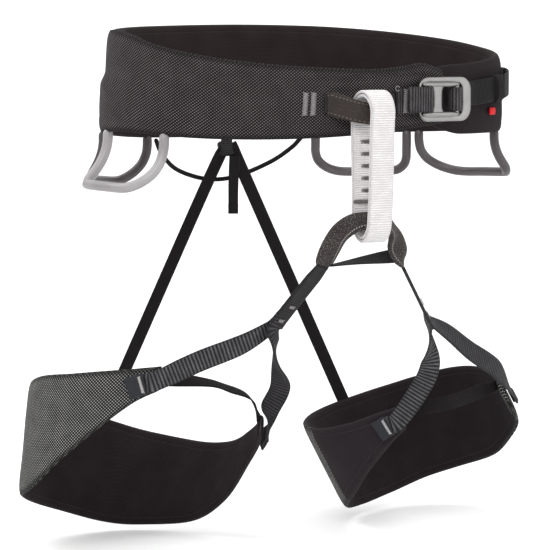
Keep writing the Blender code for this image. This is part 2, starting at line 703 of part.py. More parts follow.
# The two branches of each leg loop: stations between the split and the swath, and the swath
# angles that the branch's sewn end lies on.
BRANCHES = {
    ("right", "outer"): (
        (((-84.0, -60.5, -167.0), (0.0, 0.25, -1.0)), ((-112.0, -52.5, -177.5), (0, 0, -1))),
        (247.0, 236.0), -1),
    ("right", "inner"): (
        (((-60.5, -63.5, -168.0), (0.62, 0.62, 0.20)), ((-57.0, -57.0, -176.0), (0.30, 0.75, 0.60)),
         ((-42.0, -37.5, -199.5), (-0.75, 0.43, 0.4)),
         ((-42.0, -23.0, -217.5), (-0.55, 0.35, 0.80))),
        (-30.0, -20.0), 1),
    ("left", "inner"): (
        (((62.2, -61.3, -177.0), (0.80, 0.59, 0.0)), ((65.5, -54.0, -194.0), (0.86, -0.45, -0.1)),
         ((62.5, -45.0, -210.0), (0.70, -0.45, -0.5))),
        (235.0, 224.0), -1),
    ("left", "outer"): (
        (((78.0, -60.5, -169.0), (0.2, 0.45, 0.9)), ((102.0, -50.0, -183.0), (0.0, 0.1, 1.0)),
         ((136.0, -33.5, -200.0), (0, 0, 1))),
        (-35.0, -25.0), 1),
}


def make_branch(side, which):
    middle, (first, last), end_sign = BRANCHES[side, which]
    width = LEG_WEBBING_WIDTH[side]
    split = np.asarray(SPLIT[side])
    run = unit(split - np.asarray(BRIDGE_END[side]))
    face = unit(np.cross(run, width))
    if (face[1] > 0) == ((side, which) in (("right", "inner"), ("left", "outer"))):
        face = -face
    apart = WEBBING_THICK / 2 + 5 * GAP
    stations = [(split + run * 2.3 + face * apart, width),
                (split + run * 5.0 + face * (apart + 1.2), width), *middle]
    for angle, lift in ((first, 1.4), ((first + last) / 2, 0.2), (last, 0.0)):
        point = leg_point(side, angle, BRANCH_OUT + lift, tab_heights(side, angle))
        stations.append((point, end_sign * ruling(side)))
    strap("leg_branch_%s_%s" % (which, side), "webbing", stations, WEBBING_LEG, WEBBING_THICK, 26,
          BRIDGE_END[side])
    spread = 4.0 if last > first else -4.0
    make_tab("leg_tab_%s_%s" % (which, side), side, (first + last) / 2, last + spread * 0.5)


def make_leg_webbing(side):
    top, bottom = np.asarray(BRIDGE_END[side]), np.asarray(SPLIT[side])
    width = LEG_WEBBING_WIDTH[side]
    stations = ((top + unit(bottom - top) * 2.0, width), (bottom, width))
    strap("leg_webbing_" + side, "webbing", stations, WEBBING_LEG, 2 * WEBBING_THICK, 8,
          BRIDGE_END[side])


# Each thigh elastic: its two ends on the swath's inner face, and the points it passes between.
ELASTICS = {
    "right": ((243.0, -184.5), (-26.0, -223.5),
              ((-94.4, -28.6, -194.6), (-75.4, -25.7, -200.5), (-56.9, -22.6, -208.4)),
              (-0.2, 0.8, 0.55)),
    "left": ((231.0, -225.5), (-29.0, -215.5), ((98.0, -29.0, -221.5),), (0.0, 0.1, 1.0)),
}
ELASTIC_WIDE, ELASTIC_THICK = 10.0, 1.1


def make_thigh_elastic(side):
    """Elastic band across the front of the leg loop, behind the branches."""
    layers = LEG_SKIN + LEG_FOAM + LEG_LINING + 2 * LAYER_GAP
    inside = -layers - 4 * GAP - ELASTIC_THICK / 2
    (a, za), (b, zb), middle, lie = ELASTICS[side]
    stations = [(leg_point(side, a, inside, za), ruling(side)), *((p, lie) for p in middle),
                (leg_point(side, b, inside, zb), ruling(side))]
    strap("thigh_elastic_" + side, "elastic", stations, ELASTIC_WIDE, ELASTIC_THICK, 16,
          BRIDGE_END[side])


RISER_ENDS = {"right": ((-16.5, 93.5, -52.5), 84.0), "left": ((-2.5, 93.0, -53.0), 92.0)}


def make_riser(side):
    """Elastic riser from the hook at the belt's back to the swath's top edge."""
    top, angle = RISER_ENDS[side]
    z = leg_edge(side, angle, 1)
    bottom = leg_point(side, angle, -2.5, z + 2.4)
    stations = ((top, (1, 0, 0)), (bottom, (1, 0, 0)))
    strap("riser_" + side, "elastic", stations, width=9.5, thick=1.6, count=6,
          location=RISER_HOOK)


def make_riser_hook():
    hook = np.asarray(RISER_HOOK)
    hook_size = (12.0, 5.0, 10.0)
    anchor_wide, tail_wide, thick = 9.0, 8.5, 1.4
    anchor = ((hook + (-2.0, -5.4, 12.0), (1, 0, 0)), (hook + (-2.0, -5.2, -4.0), (1, 0, 0)))
    frames = [(np.asarray(p), np.array((1.0, 0, 0)), np.array((0, -1.0, 0))) for p, _ in anchor]
    loft("riser_anchor", "webbing", [strap_section(f, anchor_wide, thick) for f in frames])
    box("riser_hook", "hook_plastic", hook, ((1, 0, 0), (0, 1, 0), (0, 0, 1)), hook_size)
    tail_top = hook + (4.4, -4.6, -5.6)
    tail = ((tail_top, (1, 0, 0)), (tail_top + (-0.8, 0.4, -20.0), (1, 0.1, 0)),
            (tail_top + (-1.5, -0.5, -41.0), (1, 0.2, 0)))
    strap("riser_tail", "elastic", tail, tail_wide, thick, 7, tail_top)


def make_legs():
    for side in ("right", "left"):
        make_swath(side)
        make_leg_webbing(side)
        for which in ("outer", "inner"):
            make_branch(side, which)
        make_thigh_elastic(side)
        make_riser(side)


def main():
    clear_scene()
    make_belt()
    make_bar_tacks()
    make_upper_tie_in()
    make_buckle()
    make_waist_webbing()
    make_waist_strap()
    make_size_tag()
    make_gear_loops()
    make_haul_cord()
    make_belay_loop()
    make_bridge()
    make_legs()
    make_riser_hook()


main()
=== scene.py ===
"""The looks of the climbing harness: padded fabric, webbing, elastic, metal and moulded plastic.

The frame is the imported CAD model: the origin is the middle of the waist opening, +Z is up, the
wearer faces -Y and the wearer's right hand side is -X. Sizes below are in millimetres, as in the
CAD source, and MM turns them into metres where meshes are made.
"""
import math

import bpy
import numpy as np
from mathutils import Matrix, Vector


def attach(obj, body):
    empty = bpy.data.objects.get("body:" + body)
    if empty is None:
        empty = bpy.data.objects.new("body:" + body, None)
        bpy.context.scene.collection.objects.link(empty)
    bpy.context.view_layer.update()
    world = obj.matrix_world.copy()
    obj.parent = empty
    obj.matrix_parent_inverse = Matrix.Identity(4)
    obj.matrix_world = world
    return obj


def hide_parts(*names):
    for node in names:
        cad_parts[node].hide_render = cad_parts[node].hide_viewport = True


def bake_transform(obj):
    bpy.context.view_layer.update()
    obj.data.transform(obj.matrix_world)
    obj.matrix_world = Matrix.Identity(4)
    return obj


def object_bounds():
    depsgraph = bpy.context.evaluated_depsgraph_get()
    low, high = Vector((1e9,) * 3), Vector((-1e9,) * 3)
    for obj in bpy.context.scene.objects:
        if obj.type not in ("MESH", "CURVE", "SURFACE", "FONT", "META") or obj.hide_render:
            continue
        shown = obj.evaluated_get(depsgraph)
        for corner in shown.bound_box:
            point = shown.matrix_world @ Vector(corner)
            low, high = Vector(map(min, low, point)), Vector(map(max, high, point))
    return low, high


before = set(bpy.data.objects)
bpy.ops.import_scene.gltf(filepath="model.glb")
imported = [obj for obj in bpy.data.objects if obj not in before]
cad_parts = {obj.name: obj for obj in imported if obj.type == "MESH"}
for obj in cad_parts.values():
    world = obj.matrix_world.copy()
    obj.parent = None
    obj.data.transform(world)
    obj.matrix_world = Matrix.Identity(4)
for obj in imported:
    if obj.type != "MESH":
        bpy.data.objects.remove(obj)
CAD_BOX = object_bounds()

MM = 0.001
UP = np.array((0.0, 0.0, 1.0))

# ---- driving dimensions, the same as the CAD's -----------------------------------------------
WAIST_A, WAIST_B = 150.0, 100.0
BELT_THICK = 7.6
BELT_TUCK = 9.5
WEBBING_WIDE, WEBBING_LEG, WEBBING_THICK = 17.0, 14.0, 1.4
WEBBING_OUT = 1.3
STRAP_THICK = 1.2
LEG_THICK = 5.6
BRANCH_OUT = 1.3
ELASTIC_THICK = 1.1
GAP = 0.3
GEAR_RADIUS = 3.3
CORD_RADIUS = 1.6
CENTRE_X = -17.5

# angle, top edge, bottom edge, lean of the top edge
BELT_EDGES = (
    (-84, 6.0, -22.0, 0.0), (-75, 9.5, -23.0, 0.0), (-66, 13.0, -29.0, 0.0),
    (-59, 14.2, -32.2, 0.0), (-54, 14.6, -32.8, 0.0), (-39, 17.0, -33.0, 0.5),
    (-20, 21.0, -33.2, 1.5), (0, 25.5, -33.8, 2.5),
    (18, 30.5, -34.6, 2.5), (38, 35.5, -35.8, 2.0), (55, 39.0, -37.0, 2.0),
    (72, 41.0, -38.0, 2.0), (94, 41.5, -38.0, 2.5), (124, 40.0, -37.0, 4.5),
    (153, 38.0, -33.0, 8.5), (172, 37.5, -30.2, 9.0), (188, 33.4, -29.4, 7.5),
    (202, 27.0, -30.8, 5.0), (219, 20.5, -32.8, 3.0), (234, 16.0, -33.5, 1.5),
    (247, 13.4, -33.2, 0.5), (257, 12.2, -32.2, 0.0), (267, 11.4, -30.6, 0.0),
    (276, 13.0, -28.4, 0.0), (283, 15.2, -26.4, 0.0), (290, 10.5, -24.6, 0.0),
)

# centre and radius at height z0, the wall's lean, how far the front inner end flares out, the
# angles between which the outside is the plain stretch cloth, and edge heights by angle
LEG_LOOPS = {
    "right": dict(
        centre=(-108.0, 28.0), radius=79.0, z0=-190.0, lean=(-0.09, 0.05), flare=4.5,
        plain=(-40.0, 22.0),
        edges=((-32, -222.0, -237.0), (-22, -230.0, -250.0), (-7, -240.5, -271.0),
               (8, -247.5, -291.0), (28, -250.2, -307.0), (55, -245.5, -311.5),
               (77, -237.0, -309.0), (108, -221.0, -296.0), (145, -203.0, -280.0),
               (177, -191.5, -267.0), (203, -186.5, -241.0), (220, -183.6, -222.0),
               (237, -181.4, -204.0), (249, -180.0, -196.0))),
    "left": dict(
        centre=(104.0, 29.0), radius=80.0, z0=-240.0, lean=(0.44, -0.25), flare=0.0,
        plain=(172.0, 245.0),
        edges=((-36, -211.0, -228.0), (-25, -209.0, -241.0), (0, -207.0, -259.0),
               (22, -210.5, -276.0), (46, -218.7, -286.5), (67, -226.5, -294.5),
               (93, -234.5, -304.5), (120, -240.0, -309.0), (150, -243.0, -305.0),
               (180, -241.6, -290.0), (205, -234.6, -267.0), (226, -225.5, -246.0),
               (237, -221.0, -236.0))),
}
BRIDGE_END = {"right": (-45.0, -92.0, -118.5), "left": (13.0, -103.0, -118.5)}
SPLIT = {"right": (-63.5, -66.0, -156.5), "left": (57.0, -68.0, -160.0)}
LEG_WEBBING_WIDTH = {"right": (0.78, 0.45, -0.46), "left": (0.07, 0.75, 0.66)}
BRIDGE_ROUTE = (
    ((-43.5, -92.5, -117.5), (0.82, 0.36, -0.46)),
    ((-40.8, -99.0, -104.0), (0.72, -0.05, -0.60)),
    ((-38.2, -106.5, -93.6), (0.50, -0.35, -0.75)),
    ((-32.5, -112.0, -87.6), (0.20, -0.52, -0.78)),
    ((-25.5, -114.5, -85.6), (0.0, -0.64, -0.77)),
    ((-16.0, -114.5, -85.8), (0.0, -0.64, -0.77)),
    ((-8.0, -114.0, -87.4), (-0.15, -0.60, -0.78)),
    ((-1.5, -111.5, -92.5), (-0.30, -0.50, -0.80)),
    ((6.0, -106.0, -104.0), (-0.50, -0.40, -0.70)),
    ((13.0, -103.0, -118.0), (-0.10, -0.75, -0.66)),
)
RISER_HOOK = np.array((-11.0, 93.0, -46.0))
HAUL_ENDS_DEG = (119.0, 70.5)


# ---- curves and surfaces the pieces follow ---------------------------------------------------
def unit(vector):
    vector = np.asarray(vector, float)
    return vector / np.linalg.norm(vector)


def ease(value):
    value = min(max(value, 0.0), 1.0)
    return value * value * (3 - 2 * value)


def smooth_route(points, count):
    """Points at equal spacing along a Catmull-Rom curve through the given points."""
    points = np.asarray(points, float)
    if len(points) == 2:
        return points[0] + np.linspace(0, 1, count)[:, None] * (points[1] - points[0])
    padded = np.vstack([2 * points[0] - points[1], points, 2 * points[-1] - points[-2]])
    fine = []
    for i in range(len(points) - 1):
        a, b, c, d = padded[i:i + 4]
        for s in np.linspace(0, 1, 24, endpoint=False):
            fine.append(0.5 * (2 * b + (c - a) * s + (2 * a - 5 * b + 4 * c - d) * s * s
                               + (3 * b - a - 3 * c + d) * s ** 3))
    fine.append(points[-1])
    fine = np.array(fine)
    run = np.concatenate([[0], np.cumsum(np.linalg.norm(np.diff(fine[:, :3], axis=0), axis=1))])
    even = np.linspace(0, run[-1], count)
    return np.stack([np.interp(even, run, fine[:, k]) for k in range(fine.shape[1])], axis=1)


def strap_frames(stations, count):
    """Centre, width direction and face normal along a strap."""
    rows = [tuple(point) + tuple(unit(width)) for point, width in stations]
    route = smooth_route(rows, count)
    centres = route[:, :3]
    runs = np.gradient(centres, axis=0)
    frames = []
    for centre, run, width in zip(centres, runs, route[:, 3:]):
        run = unit(run)
        width = unit(width - np.dot(width, run) * run)
        frames.append((centre, width, np.cross(run, width)))
    return frames


def tuck(angle):
    return -BELT_TUCK * ease((-5.0 - angle) / 55.0)


def waist_point(angle, out, z):
    turn = math.radians(angle)
    normal = unit((math.cos(turn) / WAIST_A, math.sin(turn) / WAIST_B, 0))
    return np.array((WAIST_A * math.cos(turn), WAIST_B * math.sin(turn), z)) + out * normal


def waist_axes(angle):
    turn = math.radians(angle)
    outward = unit((math.cos(turn) / WAIST_A, math.sin(turn) / WAIST_B, 0))
    return np.cross(UP, outward), UP, outward


BELT_TABLE = smooth_route(BELT_EDGES, 400)
LEG_TABLES = {side: smooth_route(loop["edges"], 300) for side, loop in LEG_LOOPS.items()}


def belt_edge(angle, column):
    return float(np.interp(angle, BELT_TABLE[:, 0], BELT_TABLE[:, column]))


def belt_offset(angle, z):
    top, bottom = belt_edge(angle, 1), belt_edge(angle, 2)
    height = min(max((z - bottom) / (top - bottom), 0.0), 1.0)
    return tuck(angle) - belt_edge(angle, 3) * height


def leg_edge(side, angle, column):
    table = LEG_TABLES[side]
    return float(np.interp(angle, table[:, 0], table[:, column]))


def leg_point(side, angle, out, z):
    loop = LEG_LOOPS[side]
    drop = loop["z0"] - z
    turn = math.radians(angle)
    reach = loop["radius"] + out + loop["flare"] * ease((-8.0 - angle) / 22.0)
    return np.array((loop["centre"][0] + loop["lean"][0] * drop + reach * math.cos(turn),
                     loop["centre"][1] + loop["lean"][1] * drop + reach * math.sin(turn), z))


def ruling(side):
    lean = LEG_LOOPS[side]["lean"]
    return unit((-lean[0], -lean[1], 1.0))


def leg_middle(side, angle):
    return (leg_edge(side, angle, 1) + leg_edge(side, angle, 2)) / 2


# ---- mesh making -----------------------------------------------------------------------------
def add_object(name, data):
    obj = bpy.data.objects.new(name, data)
    bpy.context.collection.objects.link(obj)
    return obj


def make_object(name, vertices, faces, materials, face_slots=None):
    mesh = bpy.data.meshes.new(name)
    mesh.from_pydata([tuple(np.asarray(v) * MM) for v in vertices], [], faces)
    for item in materials:
        mesh.materials.append(item)
    if face_slots is not None:
        mesh.polygons.foreach_set("material_index", face_slots)
    mesh.shade_smooth()
    return add_object(name, mesh)


def lofted(name, rings, materials, across, closed=False, slots=None, edge=None):
    """Skin rings of points, each ring closed on itself. UVs are in millimetres: along the piece,
    and across it as given for each ring point and once more for the seam. The second UV map, if
    given, holds each ring point's distances from the piece's two long edges."""
    rings = np.asarray(rings, float)
    count, around = rings.shape[:2]
    middle = rings.mean(axis=1)
    steps = np.linalg.norm(np.diff(middle, axis=0), axis=1)
    along = np.concatenate([[0], np.cumsum(steps)])
    if closed:
        along = np.append(along, along[-1] + np.linalg.norm(middle[0] - middle[-1]))
    vertices = rings.reshape(-1, 3)
    faces, uvs, edges, face_slots = [], [], [], []
    for i in range(count if closed else count - 1):
        here, there = i * around, ((i + 1) % count) * around
        for j in range(around):
            k = (j + 1) % around
            faces.append((here + j, here + k, there + k, there + j))
            low, high = across[i % len(across)], across[(i + 1) % len(across)]
            uvs += [(along[i], low[j]), (along[i], low[j + 1]),
                    (along[i + 1], high[j + 1]), (along[i + 1], high[j])]
            if edge is not None:
                n = (i + 1) % count
                edges += [edge[i][j], edge[i][k], edge[n][k], edge[n][j]]
            face_slots.append(slots(i, j) if slots else 0)
    if not closed:
        for i, ring in ((0, range(around - 1, -1, -1)), (count - 1, range(around))):
            ring = list(ring)
            faces.append(tuple(i * around + j for j in ring))
            uvs += [(along[i], across[i % len(across)][j]) for j in ring]
            if edge is not None:
                edges += [edge[i][j] for j in ring]
            face_slots.append(0)
    obj = make_object(name, vertices, faces, materials, face_slots)
    for map_name, values in (("UVMap", uvs), ("Edges", edges)):
        if values:
            layer = obj.data.uv_layers.new(name=map_name)
            layer.data.foreach_set("uv", np.asarray(values, np.float32).ravel())
    return obj


def flat_section(width, thick, round_steps=3, face_steps=6, crown=0.0):
    """Section of a strap: offsets across and through it, with rounded selvages and a crown."""
    half, radius = width / 2, min(thick / 2, width / 4)
    points = []
    for sign in (1, -1):
        start = 90 if sign == 1 else -90
        for s in np.linspace(-1, 1, face_steps + 1)[:-1] * sign:
            a = s * (half - radius)
            points.append((a, sign * (thick / 2 + crown * (1 - s * s))))
        for turn in np.linspace(start, start - 180, round_steps + 1)[:-1]:
            turn = math.radians(turn)
            points.append((sign * (half - radius) + radius * math.cos(turn),
                           radius * math.sin(turn) * thick / (2 * radius)))
    return points


def squared(turn, exponent):
    """A point round a square with rounded corners: an exponent of 1 gives a circle."""
    c, s = math.cos(turn), math.sin(turn)
    return math.copysign(abs(c) ** exponent, c), math.copysign(abs(s) ** exponent, s)


def band(name, frames, width, thick, item, crown=0.0, closed=False, widths=None):
    """A strap of webbing, elastic or tape along frames."""
    rings, across = [], []
    for i, (centre, side, normal) in enumerate(frames):
        scale = widths[i] if widths is not None else 1.0
        section = flat_section(width * scale, thick, crown=crown)
        rings.append([centre + a * side + b * normal for a, b in section])
        across.append([a for a, _ in section] + [section[0][0]])
    return lofted(name, rings, [item], across, closed=closed)


def tube(name, route, radius, item, sides=14):
    """Round bar along a route, with rounded ends."""
    route = np.asarray(route, float)
    runs = np.gradient(route, axis=0)
    side = unit(np.cross(runs[0], (0.3, 0.2, 1.0)))
    dome = [(math.cos(t), math.sin(t)) for t in np.radians((8, 30, 60))]
    turns = np.linspace(0, 2 * math.pi, sides, endpoint=False)
    rings = []
    for i, (centre, run) in enumerate(zip(route, runs)):
        run = unit(run)
        side = unit(side - np.dot(side, run) * run)
        other = np.cross(run, side)
        circle = np.array([math.cos(t) * side + math.sin(t) * other for t in turns])
        if i == 0:
            rings += [centre - run * radius * f + circle * radius * g for f, g in dome]
        rings.append(centre + circle * radius)
        if i == len(route) - 1:
            rings += [centre + run * radius * f + circle * radius * g for f, g in dome[::-1]]
    across = [list(np.linspace(0, 2 * math.pi * radius, sides + 1))]
    return lofted(name, rings, [item], across)


def join(name, pieces):
    """Several meshes as one object; each keeps its materials and UVs."""
    bpy.ops.object.select_all(action="DESELECT")
    for piece in pieces:
        piece.select_set(True)
    bpy.context.view_layer.objects.active = pieces[0]
    bpy.ops.object.join()
    pieces[0].name = name
    pieces[0].data.name = name
    return pieces[0]


def place(obj, body, slot, *nodes):
    """Ride on a body and stand for the CAD nodes. The slot is not used."""
    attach(obj, body)
    if nodes:
        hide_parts(*nodes)
    return obj


# ---- materials -------------------------------------------------------------------------------
class Shader:
    """A Principled material with short calls for the nodes that feed it."""

    def __init__(self, name, roughness=0.8, metallic=0.0, sheen=0.0, specular=0.3):
        self.made = bpy.data.materials.new(name)
        self.made.use_nodes = True
        self.tree = self.made.node_tree
        self.shader = self.tree.nodes["Principled BSDF"]
        self.shader.inputs["Roughness"].default_value = roughness
        self.shader.inputs["Metallic"].default_value = metallic
        self.shader.inputs["Sheen Weight"].default_value = sheen
        self.shader.inputs["Sheen Roughness"].default_value = 0.5
        self.shader.inputs["Specular IOR Level"].default_value = specular

    def node(self, kind, **settings):
        made = self.tree.nodes.new(kind)
        for key, value in settings.items():
            setattr(made, key, value)
        return made

    def feed(self, socket, value):
        if isinstance(value, bpy.types.NodeSocket):
            self.tree.links.new(value, socket)
        else:
            socket.default_value = value

    def math(self, operation, first, second=0.0, third=0.0):
        made = self.node("ShaderNodeMath", operation=operation)
        for socket, value in zip(made.inputs, (first, second, third)):
            self.feed(socket, value)
        return made.outputs[0]

    def times(self, first, second):
        return self.math("MULTIPLY", first, second)

    def plus(self, first, second):
        return self.math("ADD", first, second)

    def minus(self, first, second):
        return self.math("SUBTRACT", first, second)

    def apart(self, first, second):
        return self.math("ABSOLUTE", self.minus(first, second))

    def scaled(self, value, gain, base):
        """The value times a gain, plus a base."""
        return self.math("MULTIPLY_ADD", value, gain, base)

    def uv(self, name="UVMap"):
        """The two UV coordinates, in millimetres."""
        source = self.node("ShaderNodeUVMap", uv_map=name)
        split = self.node("ShaderNodeSeparateXYZ")
        self.tree.links.new(source.outputs[0], split.inputs[0])
        return split.outputs[0], split.outputs[1]

    def wave(self, value, period, phase=0.0):
        """Cosine of a length, from 0 to 1."""
        turned = self.math("MULTIPLY_ADD", value, 2 * math.pi / period, phase)
        return self.math("MULTIPLY_ADD", self.math("COSINE", turned), 0.5, 0.5)

    def ramp(self, value, low, high):
        """0 below low, 1 above high, smooth between; low may be the greater."""
        made = self.node("ShaderNodeMapRange", interpolation_type="SMOOTHSTEP", clamp=True)
        self.feed(made.inputs["Value"], value)
        made.inputs["From Min"].default_value = low
        made.inputs["From Max"].default_value = high
        return made.outputs[0]

    def noise(self, scale, detail=3.0, stretch=None, uv=False):
        """Noise in object space, or along the UVs, with features of about 1/scale metres."""
        made = self.node("ShaderNodeTexNoise")
        made.inputs["Scale"].default_value = scale
        made.inputs["Detail"].default_value = detail
        if uv:
            source = self.node("ShaderNodeUVMap", uv_map="UVMap").outputs[0]
        else:
            source = self.node("ShaderNodeTexCoord").outputs["Object"]
        if stretch:
            mapping = self.node("ShaderNodeMapping")
            mapping.inputs["Scale"].default_value = stretch
            self.tree.links.new(source, mapping.inputs[0])
            source = mapping.outputs[0]
        self.tree.links.new(source, made.inputs["Vector"])
        return made.outputs[0]

    def mix(self, factor, low, high):
        made = self.node("ShaderNodeMix", data_type="RGBA")
        self.feed(made.inputs[0], factor)
        for socket, value in ((made.inputs[6], low), (made.inputs[7], high)):
            self.feed(socket, value if isinstance(value, bpy.types.NodeSocket) else (*value, 1.0))
        return made.outputs[2]

    def colour(self, value):
        self.feed(self.shader.inputs["Base Color"],
                  value if isinstance(value, bpy.types.NodeSocket) else (*value, 1.0))

    def roughness(self, value):
        self.feed(self.shader.inputs["Roughness"], value)

    def bump(self, height, depth_mm, strength=1.0):
        made = self.node("ShaderNodeBump")
        made.inputs["Strength"].default_value = strength
        made.inputs["Distance"].default_value = depth_mm * MM
        self.feed(made.inputs["Height"], height)
        self.tree.links.new(made.outputs[0], self.shader.inputs["Normal"])


def dashes(s, along, across, place_mm, period, half_width=0.32):
    """A row of stitches at one distance across the piece."""
    offset = s.apart(across, place_mm)
    line = s.ramp(offset, half_width * 1.5, half_width * 0.6)
    return s.times(line, s.ramp(s.wave(along, period), 0.28, 0.48))


def mesh_cloth(name, ground, thread, pitch):
    """Spacer mesh: staggered light knots over a dark ground, with dark hemmed edges."""
    s = Shader(name, roughness=0.9, sheen=0.02, specular=0.08)
    u, v = s.uv()
    top, bottom = s.uv("Edges")
    lattice = s.times(s.math("COSINE", s.times(u, 2 * math.pi / pitch)),
                      s.math("COSINE", s.times(v, 2 * math.pi / (pitch * 0.85))))
    knots = s.ramp(lattice, 0.0, 0.7)
    patchy = s.ramp(s.noise(0.09, 4.0, uv=True), 0.22, 0.80)
    uneven = s.scaled(patchy, 0.35, 0.65)
    near_edge = s.ramp(s.math("MINIMUM", top, bottom), 1.0, 4.5)
    lit = s.times(s.times(knots, uneven), s.scaled(near_edge, 0.7, 0.3))
    s.colour(s.mix(lit, ground, thread))
    s.roughness(s.scaled(knots, -0.12, 0.9))
    s.bump(s.scaled(patchy, 0.5, knots), 0.45)
    return s.made


def lining_cloth(name, ground, nap):
    """Smooth brushed knit with a faint grain, and the hem's stitch line near both edges."""
    hem = 5.2
    s = Shader(name, roughness=0.92, sheen=0.02, specular=0.06)
    u, v = s.uv()
    top, bottom = s.uv("Edges")
    grain = s.times(s.wave(s.plus(u, v), 1.3), s.wave(v, 0.95))
    mottled = s.ramp(s.noise(0.05, 5.0, uv=True), 0.25, 0.85)
    tone = s.scaled(grain, 0.65, s.times(mottled, 0.15))
    base = s.mix(tone, ground, nap)
    height = s.times(grain, 0.4)
    edge = s.math("MINIMUM", top, bottom)
    groove = s.ramp(s.apart(edge, hem), 1.3, 0.2)
    stitches = dashes(s, u, edge, hem, 2.4)
    lip = s.ramp(edge, 2.2, 0.4)
    base = s.mix(s.times(stitches, 0.35), base, (0.060, 0.053, 0.054))
    base = s.mix(s.times(lip, 0.5), base, (0.032, 0.028, 0.029))
    height = s.minus(height, s.times(groove, 1.2))
    height = s.plus(height, s.times(stitches, 0.9))
    s.colour(base)
    s.bump(height, 0.35)
    return s.made


def webbing(name, ground, rib, period, width=14.0, depth=0.3, roughness=0.72):
    """Woven tape: ribs across it, fine warp threads along it, and a tight selvage."""
    s = Shader(name, roughness=roughness, sheen=0.03, specular=0.16)
    u, v = s.uv()
    wobble = s.times(s.noise(0.45, 3.0, uv=True), 0.9)
    ribs = s.math("POWER", s.wave(s.plus(u, wobble), period), 1.3)
    warp = s.wave(v, 0.62)
    selvage = s.ramp(s.math("ABSOLUTE", v), width / 2 - 1.5, width / 2 - 0.6)
    worn = s.ramp(s.noise(0.12, 4.0, uv=True), 0.32, 0.75)
    lit = s.times(ribs, s.scaled(worn, 0.45, 0.55))
    lit = s.times(lit, s.scaled(warp, 0.25, 0.75))
    lit = s.times(lit, s.scaled(selvage, -0.45, 1.0))
    s.colour(s.mix(lit, ground, rib))
    height = s.scaled(warp, 0.18, ribs)
    s.bump(s.plus(height, s.times(selvage, 0.35)), depth)
    return s.made


def elastic_cloth(name, ground, thread):
    """Knitted elastic: fine cords along it and a crimp across it."""
    s = Shader(name, roughness=0.88, sheen=0.02, specular=0.1)
    u, v = s.uv()
    cords = s.wave(v, 1.05)
    crimp = s.wave(s.plus(u, s.times(cords, 0.3)), 0.9)
    lit = s.times(cords, s.scaled(crimp, 0.5, 0.5))
    mottled = s.noise(0.1, 3.0, uv=True)
    s.colour(s.mix(s.times(lit, mottled), ground, thread))
    s.bump(s.scaled(crimp, 0.4, cords), 0.22)
    return s.made


def coated(name, ground, fleck, stitch, rows, fleck_share, stitch_period=2.6, fleck_scale=1.1):
    """Coated wear cloth with flecks, creases and rows of stitching."""
    s = Shader(name, roughness=0.62, sheen=0.02, specular=0.2)
    u, v = s.uv()
    flecks = s.ramp(s.noise(fleck_scale, 4.0, uv=True), *fleck_share)
    broad = s.ramp(s.noise(0.08, 3.0, uv=True), 0.3, 0.75)
    weave = s.times(s.wave(u, 1.1), s.wave(v, 1.1))
    tone = s.times(flecks, s.scaled(broad, 0.6, 0.4))
    base = s.mix(tone, ground, fleck)
    height = s.scaled(weave, 0.5, s.times(flecks, 0.5))
    for row in rows:
        stitches = dashes(s, u, v, row, stitch_period)
        groove = s.ramp(s.apart(v, row), 0.9, 0.2)
        base = s.mix(s.times(stitches, 0.8), base, stitch)
        height = s.minus(height, s.times(groove, 0.8))
        height = s.plus(height, s.times(stitches, 1.4))
    s.colour(base)
    s.roughness(s.scaled(flecks, 0.2, 0.55))
    s.bump(height, 0.32)
    return s.made


def thread_cloth(name, low, high):
    """Twisted sewing thread."""
    s = Shader(name, roughness=0.6, sheen=0.2)
    u, v = s.uv()
    twist = s.wave(s.plus(u, s.times(v, 0.8)), 0.55)
    s.colour(s.mix(s.times(twist, s.noise(0.5, 2.0, uv=True)), low, high))
    s.bump(twist, 0.1)
    return s.made


def satin_metal(name, low, high):
    """Tumbled aluminium: faint cloudy polish, fine scratches and brighter worn spots."""
    s = Shader(name, roughness=0.3, metallic=1.0)
    clouds = s.noise(90.0, 5.0)
    scratch = s.noise(420.0, 2.0, stretch=(1.0, 1.0, 9.0))
    s.colour(s.mix(clouds, low, high))
    s.roughness(s.scaled(clouds, 0.22, s.scaled(scratch, 0.10, 0.16)))
    s.bump(scratch, 0.02, 0.5)
    return s.made


def moulded(name, low, high, roughness, specular=0.45):
    """Moulded plastic with a fine grain and soft colour drift."""
    s = Shader(name, roughness=roughness, specular=specular)
    drift = s.ramp(s.noise(22.0, 3.0), 0.3, 0.7)
    speck = s.noise(900.0, 2.0)
    s.colour(s.mix(drift, low, high))
    s.roughness(s.scaled(speck, 0.18, roughness - 0.08))
    s.bump(speck, 0.04)
    return s.made


MESH = mesh_cloth("belt_mesh", (0.0080, 0.0062, 0.0070), (0.190, 0.172, 0.175), 2.3)
MESH_WING = mesh_cloth("wing_twill", (0.0125, 0.0090, 0.0105), (0.046, 0.036, 0.040), 1.5)
LEG_MESH = mesh_cloth("leg_mesh", (0.0085, 0.0080, 0.0080), (0.430, 0.430, 0.410), 2.5)
LINING = lining_cloth("lining_knit", (0.0110, 0.0075, 0.0078), (0.048, 0.0370, 0.0375))
LEG_LINING = lining_cloth("leg_lining_knit", (0.0095, 0.0070, 0.0080), (0.0420, 0.0330, 0.0360))
LEG_PLAIN = lining_cloth("leg_stretch_cloth", (0.0190, 0.0145, 0.0170), (0.0330, 0.0260, 0.0300))
# The leg webbing in two copies: the lit one, and one with dimmer ribs that is painted shade for the
# branches turned away from the light.
RIBBED = webbing("leg_webbing", (0.0085, 0.0080, 0.0095), (0.130, 0.128, 0.135), 2.5)
RIBBED_PAINTED_SHADE = webbing("leg_webbing_painted_shade", (0.0085, 0.0075, 0.0095), (0.055, 0.052, 0.058), 2.5)
TAPE = webbing("waist_tape", (0.012, 0.0105, 0.0115), (0.105, 0.098, 0.104), 1.9, width=17.0)
